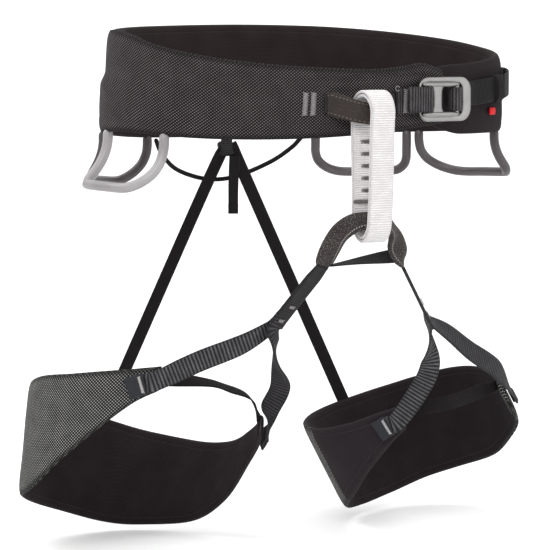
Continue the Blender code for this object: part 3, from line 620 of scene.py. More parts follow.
# A much darker copy of the waist tape for the adjusting strap's strands and tail. The same strap's
# turn round the end bar keeps the lighter tape, so the two are lit and painted-shade copies of one
# webbing.
TAPE_SHADED = webbing("strap_tape", (0.0030, 0.0025, 0.0030), (0.0075, 0.0062, 0.0072), 1.5,
                    width=17.0, depth=0.15)
NARROW = webbing("tie_in_webbing", (0.0100, 0.0090, 0.0100), (0.044, 0.042, 0.045), 1.3)
WHITE = webbing("belay_webbing", (0.56, 0.535, 0.54), (0.95, 0.935, 0.935), 1.5, width=18.5,
                depth=0.3, roughness=0.85)
ELASTIC = elastic_cloth("black_elastic", (0.0085, 0.0070, 0.0080), (0.021, 0.018, 0.020))
TIE_IN = coated("upper_protector", (0.026, 0.0190, 0.0170), (0.060, 0.047, 0.042),
                (0.16, 0.135, 0.120), (-5.6, 5.6), (0.40, 0.72))
BRIDGE = coated("lower_protector", (0.024, 0.0185, 0.0170), (0.235, 0.210, 0.195),
                (0.42, 0.39, 0.37), (4.6,), (0.53, 0.64), 1.7, 1.5)
SLATE = coated("slate_patch", (0.017, 0.018, 0.022), (0.036, 0.038, 0.044),
               (0.45, 0.45, 0.46), (), (0.40, 0.75))
THREAD = thread_cloth("tack_thread", (0.16, 0.145, 0.15), (0.52, 0.49, 0.50))
THREAD_DARK = thread_cloth("tack_thread_dark", (0.050, 0.047, 0.047), (0.30, 0.285, 0.28))
THREAD_WHITE = thread_cloth("stitch_white", (0.35, 0.34, 0.34), (0.75, 0.74, 0.74))
METAL = satin_metal("satin_aluminium", (0.17, 0.166, 0.162), (0.34, 0.332, 0.326))
# One gear loop plastic in two copies: a light one for the right front loop, which faces the light, and
# a darker copy that is painted shade for the other three.
GEAR_LIT = moulded("gear_loop_plastic", (0.225, 0.213, 0.217), (0.340, 0.325, 0.331), 0.34)
GEAR_SHADED = moulded("gear_loop_plastic_shaded", (0.042, 0.034, 0.038), (0.078, 0.067, 0.072), 0.33)
HOOK = moulded("hook_plastic", (0.0075, 0.0065, 0.0075), (0.014, 0.0125, 0.0135), 0.5,
               specular=0.25)
RED = webbing("tag_cloth", (0.55, 0.006, 0.010), (0.86, 0.020, 0.024), 0.9, width=4.6, depth=0.08)


# ---- padded pieces ---------------------------------------------------------------------------
PAD_EDGE = 1.1                 # radius of a padded piece's rolled edge
PAD_SPREAD = 5.5               # how far in from its edge a pad reaches its full thickness


def pad_depth(distance, thick):
    """Half thickness of a pad at a distance from its nearest edge."""
    full = thick / 2
    return PAD_EDGE + (full - PAD_EDGE) * (1 - math.exp(-distance / PAD_SPREAD * 1.6))


def pad_rings(angles, edges, point, thick, ends, relief):
    """Rings of a padded band. Each goes down the outside, under, up the inside and over the top.
    Also returns where each point lies across the band and its distance from the two edges."""
    outside_steps, inside_steps, turn_steps = 26, 18, 4
    rings, across, edge_maps = [], [], []
    for angle in angles:
        top, bottom = edges(angle)
        height = top - bottom
        taper = ends(angle)
        ring, places, distances = [], [], []

        def add(level, out, place_mm):
            z = top - level
            ring.append(point(angle, out - thick / 2, z))
            places.append(place_mm)
            distances.append((max(level, 0.0), max(height - level, 0.0)))

        levels = np.linspace(PAD_EDGE, height - PAD_EDGE, outside_steps)
        for level in levels:
            depth = pad_depth(min(level, height - level), thick) * taper
            add(level, depth + relief(angle, level, height) * taper, level)
        for turn in np.linspace(0, math.pi, turn_steps + 2)[1:-1]:
            add(height - PAD_EDGE + PAD_EDGE * math.sin(turn), PAD_EDGE * math.cos(turn) * taper,
                height + 1.0)
        for level in np.linspace(height - PAD_EDGE, PAD_EDGE, inside_steps):
            depth = pad_depth(min(level, height - level), thick) * taper
            add(level, -depth, 2 * height + 4 - level)
        for turn in np.linspace(0, math.pi, turn_steps + 2)[1:-1]:
            add(PAD_EDGE - PAD_EDGE * math.sin(turn), -PAD_EDGE * math.cos(turn) * taper,
                2 * height + 4)
        rings.append(ring)
        across.append(places + [places[-1] + 1.0])
        edge_maps.append(distances)
    inside_from = outside_steps + turn_steps // 2
    inside_to = outside_steps + turn_steps + inside_steps + turn_steps // 2
    return rings, across, edge_maps, (inside_from, inside_to)


def end_taper(angle, first, last, radius_deg):
    """Closes a band's thickness down to a round end."""
    share = min(max((angle - first) / radius_deg, 0.0), max((last - angle) / radius_deg, 0.0), 1.0)
    return max(math.sqrt(max(1 - (1 - share) ** 2, 0.0)), 0.12)


def end_angles(first, last, step, radius_deg):
    """Angles round a band, closer together where its ends are rounded."""
    close = radius_deg * (1 - np.cos(np.linspace(0, math.pi / 2, 6)))
    middle = np.arange(first + radius_deg + step, last - radius_deg - step / 2, step)
    return np.concatenate([first + close, middle, (last - close)[::-1]])


def belt_relief(angle, level, height):
    """Soft folds of the outer mesh: lengthwise ones under the top edge in front, low ones near
    the hip, and a step where the padding buckles on the hip."""
    front = ease((angle - 196) / 40) * ease((294 - angle) / 12)
    wander = math.sin(math.radians(angle * 5)) + 0.5 * math.sin(math.radians(angle * 11.7))
    fold = -1.5 * math.exp(-((level - 8.0 - 1.6 * wander) / 1.9) ** 2)
    second = -0.9 * math.exp(-((level - 14.5 + 2.2 * wander) / 2.3) ** 2)
    low = -0.8 * math.exp(-((height - level - 9.0 - 2.4 * wander) / 2.6) ** 2)
    low *= 0.35 + 0.65 * ease((232 - angle) / 25) * ease((angle - 160) / 15)
    puff = 0.4 * math.sin(math.radians(angle * 9)) * math.sin(math.pi * level / height)
    hip = ease((angle - 132) / 18) * ease((196 - angle) / 26)
    share = level / height
    upper = 2.6 * (1 - share / 0.45) if share < 0.45 else 0.0
    lower = 3.6 * ease((share - 0.40) / 0.14) * (1 - share)
    return front * (fold + second) + low + 0.6 * puff + hip * (upper + lower * 1.5)


def make_belt():
    first, last, radius_deg = BELT_EDGES[0][0], BELT_EDGES[-1][0], 1.2

    def edges(angle):
        return belt_edge(angle, 1), belt_edge(angle, 2)

    def point(angle, out, z):
        return waist_point(angle, belt_offset(angle, z) + out, z)

    angles = end_angles(first, last, 1.5, radius_deg)
    rings, across, edge_maps, (inner, outer) = pad_rings(
        angles, edges, point, BELT_THICK, lambda a: end_taper(a, first, last, radius_deg),
        belt_relief)

    def face(i, j):
        if inner <= j < outer:
            return 1
        return 2 if angles[i] < -20 else 0

    belt = lofted("belt_padding", rings, [MESH, LINING, MESH_WING], across, slots=face,
                  edge=edge_maps)
    place(belt, "waist_belt", "mesh", "belt_shell", "belt_foam", "belt_lining")


def make_swath(side):
    loop = LEG_LOOPS[side]
    first, last, radius_deg = loop["edges"][0][0], loop["edges"][-1][0], 1.6
    plain_from, plain_to = loop["plain"]

    def edges(angle):
        return leg_edge(side, angle, 1), leg_edge(side, angle, 2)

    def relief(angle, level, height):
        wave = math.sin(math.radians(angle * 4.1 + 40)) * math.sin(math.pi * level / height)
        return 0.35 * wave + 0.15 * math.sin(math.radians(angle * 13)) * math.sin(level / 6.0)

    angles = end_angles(first, last, 2.2, radius_deg)
    rings, across, edge_maps, (inner, outer) = pad_rings(
        angles, edges, lambda a, out, z: leg_point(side, a, out, z), LEG_THICK,
        lambda a: end_taper(a, first, last, radius_deg), relief)

    def face(i, j):
        if inner <= j < outer:
            rolled = side == "left" and (angles[i] < -27 or (angles[i] < 60 and j < inner + 2))
            return 0 if rolled else 1
        return 2 if plain_from < angles[i] < plain_to else 0

    swath = lofted("leg_padding_" + side, rings, [LEG_MESH, LEG_LINING, LEG_PLAIN], across,
                   slots=face, edge=edge_maps)
    place(swath, "leg_" + side, "mesh", *(n + side for n in ("leg_shell_", "leg_foam_",
                                                             "leg_lining_")))


# ---- stitching -------------------------------------------------------------------------------
def zigzag(name, centre, along, across, outward, length, width, item, pitch=0.75, radius=0.27):
    """A bar tack: one thread sewn to and fro in a narrow row."""
    count = max(int(round(length / pitch)) * 2, 4)
    centre, along, across = np.asarray(centre, float), unit(along), unit(across)
    route = []
    for i in range(count + 1):
        run = (i / count - 0.5) * length
        side = (0.5 if i % 2 else -0.5) * width
        for dip in ((side * 0.96, 0.0), (side, -0.1)):
            route.append(centre + along * (run + (0.12 if dip[1] else 0.0)) + across * dip[0]
                         + unit(outward) * dip[1])
    return tube(name, route, radius, item, sides=6)


def make_bar_tacks():
    for side, angle, z, height, out in (("right", -110.8, -10.8, 14.5, 0.6),
                                        ("left", -83.3, -9.5, 15.0, 2.5)):
        along, up, outward = waist_axes(angle)
        rows = []
        for shift in (-2.7, 2.7):
            centre = waist_point(angle, out, z) + along * shift
            lean = up + 0.06 * along
            rows.append(zigzag("tack", centre, lean, along, outward, height, 3.4, THREAD,
                               pitch=1.25, radius=0.36))
        tacks = join("bar_tacks_" + side, rows)
        place(tacks, "waist_belt", "thread", "belt_tacks_" + side)


# ---- tie-in points ---------------------------------------------------------------------------
TIE_IN_ROUTE = (
    (waist_point(-107.0, 1.3, -10.8), UP), (waist_point(-105.0, 1.5, -10.9), UP),
    ((-36.0, -101.5, -12.2), (0.0, 0.1, 1.0)), ((-27.0, -111.2, -15.6), UP),
    ((CENTRE_X, -114.6, -17.0), UP), ((-8.0, -111.8, -15.8), UP), ((2.0, -103.4, -12.0), UP),
    (waist_point(-88.8, 1.5, -10.4), UP), (waist_point(-87.6, 1.3, -10.3), UP),
)


def sleeve(name, frames, width, thick, item, body, node, flare=0.0):
    """A wear sleeve round a strap: crowned faces and pressed, stitched edges. Its first end may
    be wider, and both ends are pressed flat and rounded."""
    count = len(frames)
    rings, across = [], []
    for i, (centre, side, normal) in enumerate(frames):
        end = min(i, count - 1 - i)
        scale = (0.80, 0.93, 0.98, 1.0)[min(end, 3)]
        wide = width * (1 + flare * (1 - ease(i / (0.45 * count)))) * scale
        section = flat_section(wide, thick * (0.55 + 0.45 * ease(end / 5)), 3, 10,
                               crown=0.35 * ease(end / 5))
        rings.append([centre + a * side + b * normal for a, b in section])
        across.append([a for a, _ in section] + [section[0][0]])
    return place(lofted(name, rings, [item], across), body, "protector", node)


def make_tie_ins():
    frames = strap_frames(TIE_IN_ROUTE, 61)
    core = band("upper_tie_in_webbing", frames, 12.0, 1.6, NARROW)
    place(core, "waist_belt", "webbing", "upper_tie_in_core")
    sleeve("upper_tie_in_sleeve", frames[2:-8], 14.4, 3.4, TIE_IN, "waist_belt",
           "upper_tie_in_protector", flare=0.14)

    stations = list(BRIDGE_ROUTE)
    stations[-2] = (stations[-2][0], (-0.72, 0.15, -0.50))    # the left end turns edge on
    frames = strap_frames(stations, 73)
    core = band("lower_tie_in_webbing", frames, 10.5, 1.6, NARROW)
    place(core, "waist_belt", "webbing", "lower_tie_in_core")
    sleeve("lower_tie_in_sleeve", frames[2:-2], 13.4, 4.4, BRIDGE, "waist_belt",
           "lower_tie_in_protector")

    cross = (((-38.2, -94.5, -115.2), (0.30, 0.95, 0.0)), ((-17.0, -98.0, -112.5), (0.1, 0.8, 0.5)),
             ((3.0, -101.5, -110.4), (0.0, 0.45, 0.9)), ((10.5, -100.5, -110.0), (0.0, 0.5, 0.9)))
    frames = strap_frames(cross, 29)
    widths = np.linspace(0.62, 1.12, 29)
    place(band("cross_tape", frames, 9.0, 1.2, NARROW, widths=widths), "waist_belt", "webbing",
          "cross_strap")


# ---- belay loop ------------------------------------------------------------------------------
BELAY_TOP, BELAY_BOTTOM = -1.7, -99.6
BELAY_FRONT, BELAY_BACK = -128.8, -100.2
BELAY_WRAP, BELAY_WIDE = 2.0, 18.5
BELAY_SWAY = -4.0              # how far the front strand leans to the wearer's right at its foot


def belay_frames(inset):
    half = (BELAY_BACK - BELAY_FRONT) / 2
    middle = (BELAY_BACK + BELAY_FRONT) / 2
    high, low = BELAY_TOP - half, BELAY_BOTTOM + half
    radius = half - inset
    straight = np.linspace(high, low, 14)[1:-1]

    def arc(z, first, last):
        return [(z, math.cos(t), math.sin(t)) for t in map(math.radians, np.linspace(first, last, 19))]

    frames = arc(high, 0, 180) + [(z, -1.0, 0.0) for z in straight]
    frames += arc(low, 180, 360) + [(z, 1.0, 0.0) for z in straight[::-1]]
    result = []
    for z, y, up in frames:
        normal = np.array((0.0, y, up))
        drop = (BELAY_TOP - z) / (BELAY_TOP - BELAY_BOTTOM)
        sway = BELAY_SWAY * drop * ease((0.6 - y) / 1.6) + 0.4 * math.sin(z / 15.0)
        centre = np.array((CENTRE_X + sway, middle, z)) + radius * normal
        across = unit((-1.0, -0.11 * abs(y), 0.0))
        result.append((centre, across, normal))
    return result


def make_belay_loop():
    outer = band("belay_webbing_outer", belay_frames(BELAY_WRAP / 2), BELAY_WIDE,
                 BELAY_WRAP - 0.1, WHITE, closed=True, crown=0.12)
    place(outer, "belay_loop", "belay_webbing", "belay_loop_outer")
    inner = band("belay_webbing_inner", belay_frames(BELAY_WRAP * 1.5 + GAP), BELAY_WIDE - 0.5,
                 BELAY_WRAP, WHITE, closed=True)
    place(inner, "belay_loop", "belay_webbing", "belay_loop_inner")
    face = BELAY_BACK - 2 * BELAY_WRAP - GAP - 0.2
    rows = []
    for z in np.linspace(-35.0, -66.5, 5):
        rows.append(zigzag("tack", (CENTRE_X + 1.0, face, z), (1, 0, 0), UP, (0, -1, 0), 11.0, 2.6,
                           THREAD_DARK, pitch=1.1, radius=0.3))
    fold = [(CENTRE_X - 8.6 + s * 17.2, face - 1.0, -73.6) for s in np.linspace(0, 1, 12)]
    rows.append(tube("fold", fold, 1.25, THREAD_DARK, sides=10))
    place(join("belay_bar_tacks", rows), "belay_loop", "thread", "belay_loop_tacks")


# ---- buckle and waist straps -----------------------------------------------------------------
BUCKLE_ANGLE, BUCKLE_Z = -73.0, -8.5
PIN_ALONG, PIN_OUT, PIN_RADIUS = -15.5, 7.6, 1.3
RAIL_FROM, RAIL_TO = -21.0, 12.6
RAIL_UP, RAIL_HALF = 9.7, 1.75  # a rail's middle line from the buckle's, and its half height
BAR_REACH = 10.0               # half length of the bars between the rails
MIDDLE_BAR, END_BAR = -7.6, 10.2
TURN_SHIFT = END_BAR - 15.2    # the strap goes round the end bar


def buckle_point(along, up, out):
    u, v, w = waist_axes(BUCKLE_ANGLE)
    return waist_point(BUCKLE_ANGLE, 0, BUCKLE_Z) + along * u + up * v + out * w


def rounded_outline(width, height, radius, centre):
    """Evenly placed points round a rounded rectangle."""
    arc, side = 10, 8
    points = []
    corners = ((1, -1, -90), (1, 1, 0), (-1, 1, 90), (-1, -1, 180))
    for n, (sx, sy, start) in enumerate(corners):
        cx, cy = centre[0] + sx * (width / 2 - radius), centre[1] + sy * (height / 2 - radius)
        for i in range(arc + 1):
            turn = math.radians(start + 90 * i / arc)
            points.append((cx + radius * math.cos(turn), cy + radius * math.sin(turn)))
        nx, ny, after = corners[(n + 1) % 4]
        turn = math.radians(after)
        end = (centre[0] + nx * (width / 2 - radius) + radius * math.cos(turn),
               centre[1] + ny * (height / 2 - radius) + radius * math.sin(turn))
        last = points[-1]
        for s in np.linspace(0, 1, side + 2)[1:-1]:
            points.append((last[0] + s * (end[0] - last[0]), last[1] + s * (end[1] - last[1])))
    return points


def forged_ring(name, outer, inner, low, high, exponent):
    """A ring between two outlines with softly rounded, forged edges."""
    rings = []
    steps = 20
    for (ax, ay), (bx, by) in zip(outer, inner):
        ring = []
        for turn in np.linspace(0, 2 * math.pi, steps, endpoint=False):
            across, through = squared(turn, exponent)
            x = (ax + bx) / 2 + (ax - bx) / 2 * across
            y = (ay + by) / 2 + (ay - by) / 2 * across
            ring.append(buckle_point(x, y, (low + high) / 2 + (high - low) / 2 * through))
        rings.append(ring)
    return lofted(name, rings, [METAL], [list(np.linspace(0, 14, steps + 1))], closed=True)


def forged_bar(name, stations, exponent=2 / 3.0):
    """A bar through stations of (along, up, out, half width along, half depth)."""
    rings, steps = [], 18
    route = smooth_route(stations, 21)
    ends = np.concatenate([[0.55, 0.85], np.ones(17), [0.85, 0.55]])
    for (along, up, out, half, deep), end in zip(route, ends):
        ring = []
        for turn in np.linspace(0, 2 * math.pi, steps, endpoint=False):
            a, b = squared(turn, exponent)
            ring.append(buckle_point(along + a * half * end, up, out + b * deep * end))
        rings.append(ring)
    return lofted(name, rings, [METAL], [list(np.linspace(0, 20, steps + 1))])


def forged_rail(name, side):
    """One of the inner frame's rails, thick in the middle and rounded at both ends."""
    rings, steps = [], 18
    for t in np.linspace(0, 1, 25):
        along = RAIL_FROM + t * (RAIL_TO - RAIL_FROM)
        end = max(math.sqrt(max(1 - (2 * t - 1) ** 8, 0.0)), 0.15)
        ring = []
        for turn in np.linspace(0, 2 * math.pi, steps, endpoint=False):
            up = side * RAIL_UP + RAIL_HALF * end * math.cos(turn)
            out = PIN_OUT + (1.25 + 0.35 * math.sin(math.pi * t)) * end * math.sin(turn)
            ring.append(buckle_point(along, up, out))
        rings.append(ring)
    return lofted(name, rings, [METAL], [list(np.linspace(0, 10, steps + 1))])


def make_buckle():
    outer = rounded_outline(48.0, 29.0, 9.0, (1.5, 0.0))
    hole = rounded_outline(35.0, 22.0, 4.5, (0.0, 0.0))
    place(forged_ring("buckle_outer_frame", outer, hole, 3.5, 6.0, 2 / 5.0), "waist_belt",
          "aluminium", "buckle_frame")
    pieces = [forged_rail("rail_low", -1), forged_rail("rail_high", 1)]
    flared = ((0.3, -10.0, 7.2), (0.1, -8.0, 5.4), (0.0, -5.0, 4.0), (0.0, 5.0, 4.0),
              (0.1, 8.0, 5.4), (0.3, 10.0, 7.2))
    pieces.append(forged_bar("centre_bar", [(MIDDLE_BAR + shift, up, 7.5, half, 0.95)
                                            for shift, up, half in flared]))
    reaches = (-BAR_REACH, 0.0, BAR_REACH)
    pieces.append(forged_bar("end_bar", [(END_BAR, up, 7.5, 1.8, 0.9) for up in reaches]))
    pieces.append(forged_bar("pin", [(PIN_ALONG, up, PIN_OUT, PIN_RADIUS, PIN_RADIUS)
                                     for up in reaches], 1.0))
    place(join("buckle_inner_frame", pieces), "buckle_inner", "aluminium", "buckle_slider")


def surface_strap(angles, heights, outs):
    return [(waist_point(a, out, z), UP) for a, z, out in zip(angles, heights, outs)]


def buckle_route(points):
    return [(buckle_point(along, 0.0, out), UP) for along, out in points]


def make_waist_webbing():
    stations = surface_strap((-86.9, -84.0, -81.2), (-9.8, -9.6, -9.3),
                             (WEBBING_OUT, WEBBING_OUT, WEBBING_OUT + 0.8))
    reach = PIN_RADIUS + GAP + WEBBING_THICK / 2
    turns = [(PIN_ALONG + reach * math.sin(math.radians(a)),
              PIN_OUT + reach * math.cos(math.radians(a))) for a in (-20, 20, 60, 100, 140)]
    stations += buckle_route([(-30.5, 4.8), (-24.5, 7.7), *turns])
    place(band("waist_tape", strap_frames(stations, 70), WEBBING_WIDE, WEBBING_THICK, TAPE),
          "waist_belt", "webbing", "waist_webbing")
    # a loose end of thread at the tacks' corner
    start = waist_point(-86.6, 2.6, -1.2)
    along, up, outward = waist_axes(-86.6)
    loop = [start + along * (-1.2 + 1.5 * math.cos(t)) + up * 1.6 * math.sin(t) + outward * 0.5
            for t in np.linspace(0.4, 5.6, 16)]
    place(tube("thread_end", loop, 0.28, THREAD, sides=6), "waist_belt", "thread")


def make_waist_strap():
    lower = buckle_route([(21.0 + TURN_SHIFT, 0.6)]) + surface_strap(
        (-56.0, -46.0, -38.0), (-6.0, -4.2, -2.6), (-7.6, -5.0, -3.2))
    place(band("strap_lower", strap_frames(lower, 40), 16.4, STRAP_THICK, TAPE_SHADED),
          "waist_belt", "webbing", "waist_strap_lower")
    upper = buckle_route([(21.0 + TURN_SHIFT, 2.3)]) + surface_strap(
        (-56.0, -46.0, -36.0), (-5.6, -3.6, -1.6), (-5.7, -3.2, 0.2))
    place(band("strap_upper", strap_frames(upper, 44), 16.6, STRAP_THICK, TAPE_SHADED),
          "waist_belt", "webbing", "waist_strap_upper")
    turn = [(21.2, 2.3), (18.6, 3.6), (18.4, 8.2), (15.2, 9.8), (12.0, 8.2), (11.8, 5.0),
            (14.0, 1.6), (21.2, 0.7)]
    turn = [(along + TURN_SHIFT, out) for along, out in turn]
    # The turn takes the lighter waist tape while the strands and tail take its shaded copy: lit and
    # painted-shade copies of one webbing.
    piece = band("strap_turn", strap_frames(buckle_route(turn), 60), 15.8, STRAP_THICK, TAPE)
    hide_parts("waist_strap_turn")
    tuple(buckle_point(14.0, 0, 2.0) * MM)
    tuple(buckle_point(14.0, 0, 7.0) * MM)
    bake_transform(piece)
    tail = surface_strap((-34.6, -26.0, -16.0, -8.0), (-1.2, 0.6, 2.2, 3.2), (0.2, 1.2, 2.2, 3.0))
    frames = strap_frames(tail, 40)
    strap = band("strap_tail_tape", frames, 16.6, STRAP_THICK, TAPE_SHADED)
    end = band("strap_tail_fold", frames[-8:], 16.9, STRAP_THICK + 1.6, TAPE_SHADED)
    place(join("strap_tail_tape", [strap, end]), "strap_tail", "webbing", "waist_strap_tail")
    frames = strap_frames(surface_strap((-42.5, -38.0), (-2.9, -2.1), (-2.4, -1.3)), 9)
    place(band("keeper_loop", frames, 19.0, 7.2, ELASTIC, crown=0.3), "waist_belt", "elastic",
          "strap_keeper")


def make_size_tag():
    angle = -39.0
    along, up, outward = waist_axes(angle)
    centre = waist_point(angle, tuck(angle) + GAP + 0.7, -18.0)
    frames = [(centre + along * s, up, outward) for s in np.linspace(-6.5, 5.5, 9)]
    place(band("size_tag_fold", frames, 5.0, 0.8, RED, crown=0.25), "waist_belt", "tag",
          "size_tag")


# ---- gear loops and haul cord ----------------------------------------------------------------
GEAR_LOOPS = {
    "right_front": (206.5, 174.0, (17.0, 16.0), 4.5, 2.0, 19.0, 30.0),
    "right_rear": (123.0, 160.0, (24.0, 20.0), 8.0, 0.0, 12.0, 27.0),
    "left_front": (32.0, -10.0, (27.0, 16.0), 6.0, 0.0, 18.0, 25.5),
    "left_rear": (66.0, 36.5, (24.0, 16.0), 9.0, 0.0, 8.0, 24.0),
}
GEAR_INSET = 3.6


def under_belt(angle, radius):
    return waist_point(angle, tuck(angle) - GEAR_INSET, belt_edge(angle, 2) - radius - 0.4)


def gear_route(sweep_end, tight_end, sweep, tight, reach, flare, drop):
    """The CAD's route for one gear loop, at closer spacing."""
    start, end = under_belt(sweep_end, GEAR_RADIUS), under_belt(tight_end, GEAR_RADIUS)
    along = unit((end - start) * (1, 1, 0))
    outward = unit(np.cross(along, UP))
    if np.dot(outward, (start + end) / 2) < 0:
        outward = -outward
    span = float(np.dot(end - start, along))
    sweep_run, sweep_drop = sweep
    flat = [(0.0, 0.0), (0.0, (drop - sweep_drop) * 0.6)]
    for turn in np.linspace(0, math.pi / 2, 5):
        flat.append((sweep_run * (1 - math.cos(turn)), drop - sweep_drop * (1 - math.sin(turn))))
    flat.append((span * 0.6, drop))
    for turn in np.linspace(math.pi / 2, 0, 4):
        flat.append((span + reach - tight * (1 - math.cos(turn)),
                     drop - tight + tight * math.sin(turn)))
    flat += [(span + reach * 0.5, (drop - tight) * 0.6), (span, 0.0)]
    route = []
    for run, down in smooth_route(np.array([(a, b, 0.0) for a, b in flat]), 70)[:, :2]:
        share = min(max(run / span, 0), 1)
        height = start[2] + (end[2] - start[2]) * share
        out = flare * (down / drop) ** 2 + 3.0 * math.sin(math.pi * share)
        route.append(start * (1, 1, 0) + along * run + outward * out + (0, 0, height - down))
    return np.array(route)


def make_gear_loops():
    for name, shape in GEAR_LOOPS.items():
        route = gear_route(*shape)
        head, tail = route[0] + (0, 0, 2.6), route[-1] + (0, 0, 2.6)
        route = np.vstack([head, route, tail])
        # The right front loop, facing the light, takes the lit plastic; the other three take its copy
        # with painted shade.
        item = GEAR_LIT if name == "right_front" else GEAR_SHADED
        loop = tube("gear_tube_" + name, route, GEAR_RADIUS, item, sides=18)
        place(loop, "gear_" + name, "gear_plastic", "gear_loop_" + name)


def make_haul_cord():
    start, end = (under_belt(a, CORD_RADIUS) for a in HAUL_ENDS_DEG)
    points = [start, start + (7.0, 5.0, -9.5), start + (21.0, 11.0, -20.5),
              start + (42.0, 15.0, -27.5), start + (60.0, 15.5, -29.0), end + (-40.0, 14.0, -25.5),
              end + (-19.0, 9.0, -16.5), end + (-6.0, 3.5, -7.0), end]
    route = smooth_route(points, 90)
    cord = tube("haul_loop_cord", route, CORD_RADIUS, ELASTIC, sides=12)
    place(cord, "haul", "elastic", "haul_cord")


# ---- leg loops -------------------------------------------------------------------------------
BRANCHES = {
    ("right", "outer"): (
        (((-84.0, -60.5, -167.0), (0.0, 0.25, -1.0)), ((-112.0, -52.5, -177.5), (0, 0, -1))),
        (247.0, 236.0), -1),
    ("right", "inner"): (
        (((-60.5, -63.5, -168.0), (0.62, 0.62, 0.20)), ((-57.0, -57.0, -176.0), (0.30, 0.75, 0.60)),
         ((-42.0, -37.5, -199.5), (-0.75, 0.43, 0.4)),
         ((-42.0, -23.0, -217.5), (-0.55, 0.35, 0.80))),
        (-30.0, -20.0), 1),
    ("left", "inner"): (
        (((62.2, -61.3, -177.0), (0.80, 0.59, 0.0)), ((65.5, -54.0, -194.0), (0.86, -0.45, -0.1)),
         ((62.5, -45.0, -210.0), (0.70, -0.45, -0.5))),
        (235.0, 224.0), -1),
    ("left", "outer"): (
        (((78.0, -60.5, -169.0), (0.2, 0.45, 0.9)), ((102.0, -50.0, -183.0), (0.0, 0.1, 1.0)),
         ((136.0, -33.5, -200.0), (0, 0, 1))),
        (-35.0, -25.0), 1),
}
ELASTICS = {
    "right": ((243.0, -184.5), (-26.0, -223.5),
              ((-94.4, -28.6, -194.6), (-75.4, -25.7, -200.5), (-56.9, -22.6, -208.4)),
              (-0.2, 0.8, 0.55)),
    "left": ((231.0, -225.5), (-29.0, -215.5), ((98.0, -29.0, -221.5),), (0.0, 0.1, 1.0)),
}
RISER_ENDS = {"right": ((-16.5, 93.5, -52.5), 84.0), "left": ((-2.5, 93.0, -53.0), 92.0)}


def branch_stations(side, which):
    middle, (first, last), end_sign = BRANCHES[side, which]
    width = LEG_WEBBING_WIDTH[side]
    split = np.asarray(SPLIT[side])
    run = unit(split - np.asarray(BRIDGE_END[side]))
    face = unit(np.cross(run, width))
    if (face[1] > 0) == ((side, which) in (("right", "inner"), ("left", "outer"))):
        face = -face
    apart = WEBBING_THICK / 2 + 5 * GAP
    stations = [(split - run * 12.0 + face * 0.3, width), (split - run * 5.0 + face * 0.6, width),
                (split + run * 1.5 + face * apart * 0.8, width), *middle]
    for angle, lift in ((first, 1.4), ((first + last) / 2, 0.2), (last, 0.0)):
        point = leg_point(side, angle, BRANCH_OUT + lift, leg_middle(side, angle))
        stations.append((point, end_sign * ruling(side)))
    return stations


def make_branch(side, which):
    # The outer right and inner left branches take the lit webbing; the other two take the copy with
    # painted shade, and they narrow more.
    lit_branch = (side, which) in (("right", "outer"), ("left", "inner"))
    stations = branch_stations(side, which)
    narrow = 0.08 if lit_branch else 0.28
    count, narrow_from, narrow_over = 116, 78, 26
    widths = [1 - narrow * ease((i - narrow_from) / narrow_over) for i in range(count)]
    piece = band("leg_tape_%s_%s" % (which, side), strap_frames(stations, count), WEBBING_LEG,
                 WEBBING_THICK, RIBBED if lit_branch else RIBBED_PAINTED_SHADE, widths=widths)
    place(piece, "leg_" + side, "webbing", "leg_branch_%s_%s" % (which, side))

    first, last = BRANCHES[side, which][1]
    middle = (first + last) / 2
    last += 2.0 if last > first else -2.0
    out = BRANCH_OUT + WEBBING_THICK / 2 + GAP + 1.0
    stations = [(leg_point(side, a, out, leg_middle(side, a)), ruling(side))
                for a in np.linspace(middle, last, 4)]
    frames = strap_frames(stations, 16)
    patch = band("patch", frames, 16.0 * (1 - narrow), 1.5, SLATE, crown=0.3)
    centre, across, normal = frames[3]
    run = unit(frames[4][0] - frames[2][0])
    if np.dot(normal, leg_point(side, middle, 1.0, -200) - leg_point(side, middle, 0.0, -200)) < 0:
        normal = -normal
    row = zigzag("stitch", centre + normal * 1.15, across, run, normal, 12.0 * (1 - narrow), 1.8,
                 THREAD_WHITE, pitch=1.0, radius=0.25)
    place(join("leg_patch_%s_%s" % (which, side), [patch, row]), "leg_" + side, "slate_patch",
          "leg_tab_%s_%s" % (which, side))


def make_leg_webbing(side):
    top, bottom = np.asarray(BRIDGE_END[side]), np.asarray(SPLIT[side])
    width = LEG_WEBBING_WIDTH[side]
    along = unit(bottom - top)
    frames = strap_frames(((top - along * 4.0, width), (bottom, width)), 40)
    widths = [0.82 + 0.18 * ease(i / 8) - 0.15 * ease((i - 35) / 4) for i in range(40)]
    piece = band("leg_trunk_" + side, frames, WEBBING_LEG, 1.6 * WEBBING_THICK, NARROW,
                 widths=widths)
    tacks = [piece]
    for share in (0.62, 0.86):
        centre = top + (bottom - top) * share
        normal = frames[0][2] if frames[0][2][1] < 0 else -frames[0][2]
        tacks.append(zigzag("tack", centre + normal * (WEBBING_THICK + 0.25), frames[0][1], along,
                            normal, 4.5, 2.2, THREAD, pitch=0.9))
    place(join("leg_trunk_" + side, tacks), "leg_" + side, "webbing", "leg_webbing_" + side)


def make_thigh_elastic(side):
    inside = -LEG_THICK - 4 * GAP - ELASTIC_THICK / 2
    (a, za), (b, zb), middle, lie = ELASTICS[side]
    if side == "right":       # its sewn ends sit lower, and the inner one further forward
        za, b, zb = za - 3.5, b - 4.5, zb - 2.0
    stations = [(leg_point(side, a, inside, za), ruling(side)), *((p, lie) for p in middle),
                (leg_point(side, b, inside + 3.0, zb), ruling(side))]
    widths = [1 - 0.3 * ease((i - 46) / 12) for i in range(60)]
    place(band("thigh_band_" + side, strap_frames(stations, 60), 10.0, ELASTIC_THICK, ELASTIC,
               widths=widths),
          "leg_" + side, "elastic", "thigh_elastic_" + side)


